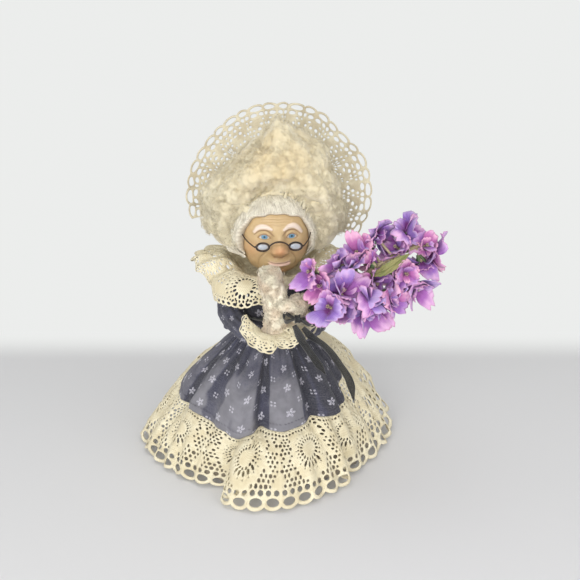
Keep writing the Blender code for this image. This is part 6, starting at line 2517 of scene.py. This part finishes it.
    def blossom(self, centre: Array, spot: Array, radius: float, thickness: float,
                draw: np.random.Generator) -> list[tuple]:
        """Shape one blossom.

        Args:
            centre: Its middle.
            spot: The point of the stem that it grows from.
            radius: Its reach.
            thickness: The stem's radius.
            draw: The draw of its shape.

        Returns:
            Points and faces of its petals, its tube with stamens and its sepals, and the
            petals' places.
        """
        axis = unit(centre - spot)
        face_out = unit(axis + (0.0, -0.22, 0.0) + draw.normal(0.0, 0.50, 3))
        helper = np.array((0.0, 0.0, 1.0)) if abs(face_out[2]) < 0.8 else np.array((1.0, 0, 0))
        side = unit(np.cross(face_out, helper))
        other = np.cross(face_out, side)
        points, faces, places = self.petal_mesh(face_out, side, centre - face_out * radius * 0.30,
                                                radius, draw)
        heart = centre - face_out * radius * 0.26
        throat = centre - face_out * radius * 0.55
        path = smooth_path([spot + axis * thickness * 0.9, spot + (throat - spot) * 0.5, throat,
                            heart], 5)
        share = shares(len(path))
        radii = self.tube_radius * (0.95 + 0.6 * ease((share - 0.6) / 0.4))
        run = shares(6)[None]
        turn = FULL_TURN * np.arange(5)[:, None] / 5.0 + draw.uniform(0.0, 1.0)
        star = side * np.cos(turn)[..., None] + other * np.sin(turn)[..., None]
        sepals = path[len(path) // 2] + face_out * (0.0068 * run)[..., None] + star * (
            0.0012 + 0.0034 * run ** 1.4)[..., None]
        stamens = heart + face_out * (radius * 0.40 * run)[..., None] + star * (
            0.0011 * run)[..., None]
        tube = merge([tubes(path[None], radii[None], 10),
                      tubes(stamens, 0.00018 + 0.00022 * (run > 0.75), 5)])
        return [(points, [faces]), tube, tubes(sepals, 0.0011 * (1.0 - 0.9 * run ** 2), 6), places]

    def make_floret(self, index: int, stems: tuple[Array, Array]) -> None:
        """Make one floret: its petals, its tube with stamens, and its green sepals.

        Args:
            index: Its number in the table.
            stems: The routes of both stems.
        """
        *_, on_side = self.florets[index]
        path, thickness = (stems[1], self.side_radius) if on_side else (stems[0],
                                                                       self.stem_radius)
        draw = np.random.default_rng(200 + index)
        blossoms = [self.florets[index][:4]] + [row[1:] for row in self.seconds
                                                if row[0] == index]
        made = []
        for x, y, z, size in blossoms:
            centre = np.array((x, y, z)) * self.reach + self.grip
            made.append(self.blossom(centre, self.nearest(path, centre),
                                     self.floret_radius * size * self.bloom, thickness, draw))
        node = f"floret_{index + 1:02d}"
        pink = index in self.pink
        points, faces = merge([blossom[0] for blossom in made])
        item = build(node + "_petals", points, faces,
                     self.wardrobe.pink if pink else self.wardrobe.violet,
                     {"petal": np.vstack([blossom[3] for blossom in made])})
        thicken(item, 0.00028)
        settle(item, Body.ARMS, "petal_pink" if pink else "petal_violet", node)
        for part, ending, finish, slot in ((1, "_tube", self.wardrobe.stem, "stem"),
                                           (2, "_calyx", self.wardrobe.calyx, "leaf")):
            points, faces = merge([blossom[part] for blossom in made])
            item = build(node + ending, points, faces, finish,
                         self.blade_values(np.full(len(points), 0.5), points[:, 2] * 20.0))
            settle(item, Body.ARMS, slot)

    def make_leaf(self) -> None:
        """Make the serrated leaf."""
        path = self.route(self.leaf_route, self.grip, self.reach, 14)
        share = shares(len(path))
        along = unit(np.gradient(path, axis=0))
        up = unit(np.cross(along, np.cross((0.15, -0.75, 0.65), along)))
        across = np.cross(along, up)
        teeth = 1.0 + 0.13 * (1.0 - 2.0 * np.abs((share * 11.0) % 1.0 - 0.3))
        wide = self.leaf_half * np.sin(math.pi * np.clip(share, 0.02, 0.985)) ** 0.75
        columns = np.linspace(-1.0, 1.0, 15)[None]
        edge = 1.0 + (teeth[:, None] - 1.0) * np.abs(columns) ** 6
        fold = 0.30 * np.abs(columns) - 0.10 * np.cos(columns * 9.0 + share[:, None] * 26.0)
        points = (path[:, None] + across[:, None] * (wide[:, None] * columns * edge)[..., None]
                  + up[:, None] * (wide[:, None] * (fold - 0.10))[..., None])
        item = build("pressed_leaf", points, [grid_faces(len(path), 15)], self.wardrobe.leaf,
                     self.blade_values(columns, share[:, None]))
        thicken(item, 0.0005)
        settle(item, Body.ARMS, "leaf", "leaf")

    def ribbon_mesh(self, path: Array, lean: Array, widths: Array, columns: int = 13,
                    curl: float = 0.10) -> tuple[Array, Array, Array, Array]:
        """Shape a flat ribbon along a path.

        Args:
            path: The ribbon's middle line.
            lean: Directions that its width runs in.
            widths: Half widths.
            columns: Points across.
            curl: How far the edges curl.

        Returns:
            The points, the quads, the cloth places and the share of the way to an edge.
        """
        along = unit(np.gradient(path, axis=0))
        across = unit(lean - along * (lean * along).sum(-1, keepdims=True))
        out = np.cross(along, across)
        share = np.linspace(-1.0, 1.0, columns)[None]
        length = run_length(path)[:, None]
        dish = widths[:, None] * curl * (share ** 2 - 0.5) * np.sin(length * 190.0)
        points = (path[:, None] + across[:, None] * (widths[:, None] * share)[..., None]
                  + out[:, None] * dish[..., None])
        cloth = stacked(widths[:, None] * share, length, 0.0)
        edge = np.broadcast_to(np.abs(share), dish.shape)
        return (points.reshape(-1, 3), grid_faces(len(path), columns), cloth.reshape(-1, 3),
                edge.ravel())

    def make_tail(self, name: str, table: tuple, pointed: float) -> None:
        """Make one hanging tail of the ribbon.

        Args:
            name: The tail's node.
            table: Its route in shares of its reach.
            pointed: Length over which its end narrows.
        """
        path = self.route(table, self.bow_middle, self.tail_reach, 12)
        length = run_length(path)
        left = length[-1] - length
        widths = self.ribbon_width / 2.0 * np.clip(left / pointed, 0.06, 1.0)
        widths = widths * (0.55 + 0.45 * ease(length / 0.010))
        lean = np.broadcast_to((1.0, -self.ribbon_lean, 0.0), path.shape)
        points, faces, cloth, edge = self.ribbon_mesh(path, lean, widths)
        item = build(name.replace("ribbon", "organza"), points, [faces], self.wardrobe.ribbon,
                     {"cloth": cloth, "edge": edge})
        thicken(item, 0.0004)
        settle(item, Body.ARMS, "ribbon", name)

    def make_bow(self) -> None:
        """Make the bow: two loops and the knot between them."""
        middle = np.array(self.bow_middle)
        wide, tall = self.bow_half
        parts, cloths, edges = [], [], []
        for side, rise in ((-1.0, 0.10), (1.0, -0.12)):
            turn = np.linspace(0.10, FULL_TURN - 0.10, 60)
            out = np.sin(turn / 2.0) ** 0.8
            loop = stacked(middle[0] + side * wide * out,
                           middle[1] - 0.0012 + 0.0022 * np.sin(turn),
                           middle[2] + tall * 0.55 * np.sin(turn) * out + rise * wide * out)
            lean = stacked(0.15 * np.cos(turn), -0.65, 0.75)
            widths = self.ribbon_width / 2.0 * (0.42 + 0.50 * out)
            points, faces, cloth, edge = self.ribbon_mesh(loop, lean, widths, 11, 0.18)
            parts.append((points, [faces]))
            cloths.append(cloth)
            edges.append(edge)
        turn = np.linspace(0.0, FULL_TURN, 40)
        knot = stacked(middle[0], middle[1] - 0.0006 + 0.0024 * np.cos(turn),
                       middle[2] + 0.0030 * np.sin(turn))
        lean = np.broadcast_to((1.0, 0.0, 0.15), knot.shape)
        points, faces, cloth, edge = self.ribbon_mesh(knot, lean, np.full(40, 0.0020), 9, 0.5)
        parts.append((points, [faces]))
        points, faces = merge(parts)
        item = build("organza_bow", points, faces, self.wardrobe.bow,
                     {"cloth": np.vstack(cloths + [cloth]), "edge": np.concatenate(
                         edges + [edge])})
        thicken(item, 0.0004)
        settle(item, Body.ARMS, "ribbon", "ribbon_bow")

    def make(self) -> None:
        """Make every piece."""
        self.make_stem("bouquet_stem", self.stem, self.stem_radius, 1)
        self.make_stem("bouquet_side_stem", self.side_stem, self.side_radius, 2)
        stems = (self.route(self.stem, self.grip, self.reach),
                 self.route(self.side_stem, self.grip, self.reach))
        for index in range(len(self.florets)):
            self.make_floret(index, stems)
        self.make_leaf()
        self.make_bow()
        self.make_tail("ribbon_tail_long", self.long_tail, 0.016)
        self.make_tail("ribbon_tail_short", self.short_tail, 0.009)


@dataclass
class Inside:
    """The foot, foam cone, dowel, washer and wires, which keep their frame shapes."""

    wardrobe: Wardrobe

    def dress(self) -> None:
        """Give each frame node its finish."""
        finishes = {"foot_felt": self.wardrobe.felt, "base_disc": self.wardrobe.card,
                    "body_cone": self.wardrobe.foam, "neck_dowel": self.wardrobe.wood,
                    "neck_washer": self.wardrobe.wood, "arm_wire_right": self.wardrobe.wire,
                    "arm_wire_left": self.wardrobe.wire}
        for node, finish in finishes.items():
            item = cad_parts[node]
            item.data.materials.clear()
            item.data.materials.append(finish)
            LOG.info("%s keeps its shape", node)


@dataclass
class Studio:
    """The pale floor, the soft lights and the camera."""

    floor_colour: Colour = (0.87, 0.87, 0.873)
    wall_colour: Colour = (0.925, 0.930, 0.925)
    size: float = 5.0
    wall_distance: float = 1.6
    bend: float = 0.5
    fade: Pair = (0.17, 0.26)
    world: float = 0.60
    camera_place: Place = (0.015, -0.525, 0.296)
    camera_pitch: float = 73.2
    sensor: float = 36.0
    lens: float = 40.34
    # Place, aim, side length and power
    lamps: tuple = (
        ((-0.30, -1.05, 0.36), (0.0, 0.0, 0.15), 0.9, 9.5),
        ((0.75, -0.65, 0.40), (0.0, 0.0, 0.15), 0.8, 2.6),
        ((-0.15, 0.10, 1.20), (0.0, 0.0, 0.18), 0.8, 1.6))

    def make_floor(self) -> None:
        """Make the floor that bends up into a backdrop."""
        turn = np.linspace(0.0, math.pi / 2.0, 24)
        profile = np.concatenate([
            [[-self.size, 0.0]],
            stacked(self.wall_distance + self.bend * np.sin(turn),
                    self.bend * (1.0 - np.cos(turn))),
            [[self.wall_distance + self.bend, 3.0]]])
        x = np.linspace(-self.size, self.size, 3)[None]
        points = stacked(x, profile[:, :1], profile[:, 1:])
        nodes = MaterialTree("Pale_floor", Roughness=0.85)
        far = nodes.ramp(nodes.parts(nodes.body_place())[1], *self.fade)
        nodes.feed(Base_Color=nodes.mix(far, self.floor_colour, self.wall_colour))
        rays = nodes.add("LightPath")
        seen = nodes.math("MAXIMUM", rays["Is Glossy Ray"], rays["Is Transmission Ray"])
        seen = far * nodes.math("MAXIMUM", rays["Is Camera Ray"], seen)
        glow = nodes.add("Emission", {"Color": linear(self.wall_colour)})[0]
        both = nodes.add("MixShader", {0: seen, 1: Signal(nodes, nodes.shader.outputs[0]), 2: glow})
        nodes.link(nodes.tree.nodes["Material Output"], {0: both[0]})
        item = build("pale_floor", points, [grid_faces(len(profile), 3)], nodes.material)

    def make_light(self) -> None:
        """Make the world and the lamps."""
        scene = bpy.context.scene
        scene.view_settings.view_transform = "Standard"
        world = bpy.data.worlds.new("Soft_room")
        world.use_nodes = True
        back = world.node_tree.nodes["Background"]
        back.inputs["Color"].default_value = (1.0, 1.0, 1.0, 1.0)
        back.inputs["Strength"].default_value = self.world
        scene.world = world
        for index, (place, aim, side, power) in enumerate(self.lamps):
            lamp = bpy.data.lights.new(f"softbox_{index + 1}", "AREA")
            lamp.shape = "SQUARE"
            lamp.size = side
            lamp.energy = power
            item = placed(lamp.name, lamp)
            item.location = place
            item.rotation_euler = (Vector(aim) - Vector(place)).to_track_quat("-Z", "Y").to_euler()

    def make_camera(self) -> None:
        """Make the camera at the photograph's place."""
        camera = bpy.data.cameras.new("camera")
        camera.sensor_width = self.sensor
        camera.lens = self.lens
        item = placed("camera", camera)
        item.location = self.camera_place
        item.rotation_euler = Euler((math.radians(self.camera_pitch), 0.0, 0.0))
        bpy.context.scene.camera = item

    def make(self) -> None:
        """Make everything round the doll."""
        self.make_floor()
        self.make_light()
        self.make_camera()


def main() -> None:
    """Dress the frame and set it in the studio."""
    logging.basicConfig(level=logging.INFO, format="%(message)s")
    wardrobe = Wardrobe()
    Studio().make()
    Inside(wardrobe).dress()
    Skirt(wardrobe).make()
    Bodice(wardrobe).make()
    head = Head(wardrobe)
    head.make()
    Spectacles(wardrobe, head).make()
    Hands(wardrobe).make()
    Bouquet(wardrobe).make()


if __name__ == "__main__":
    main()
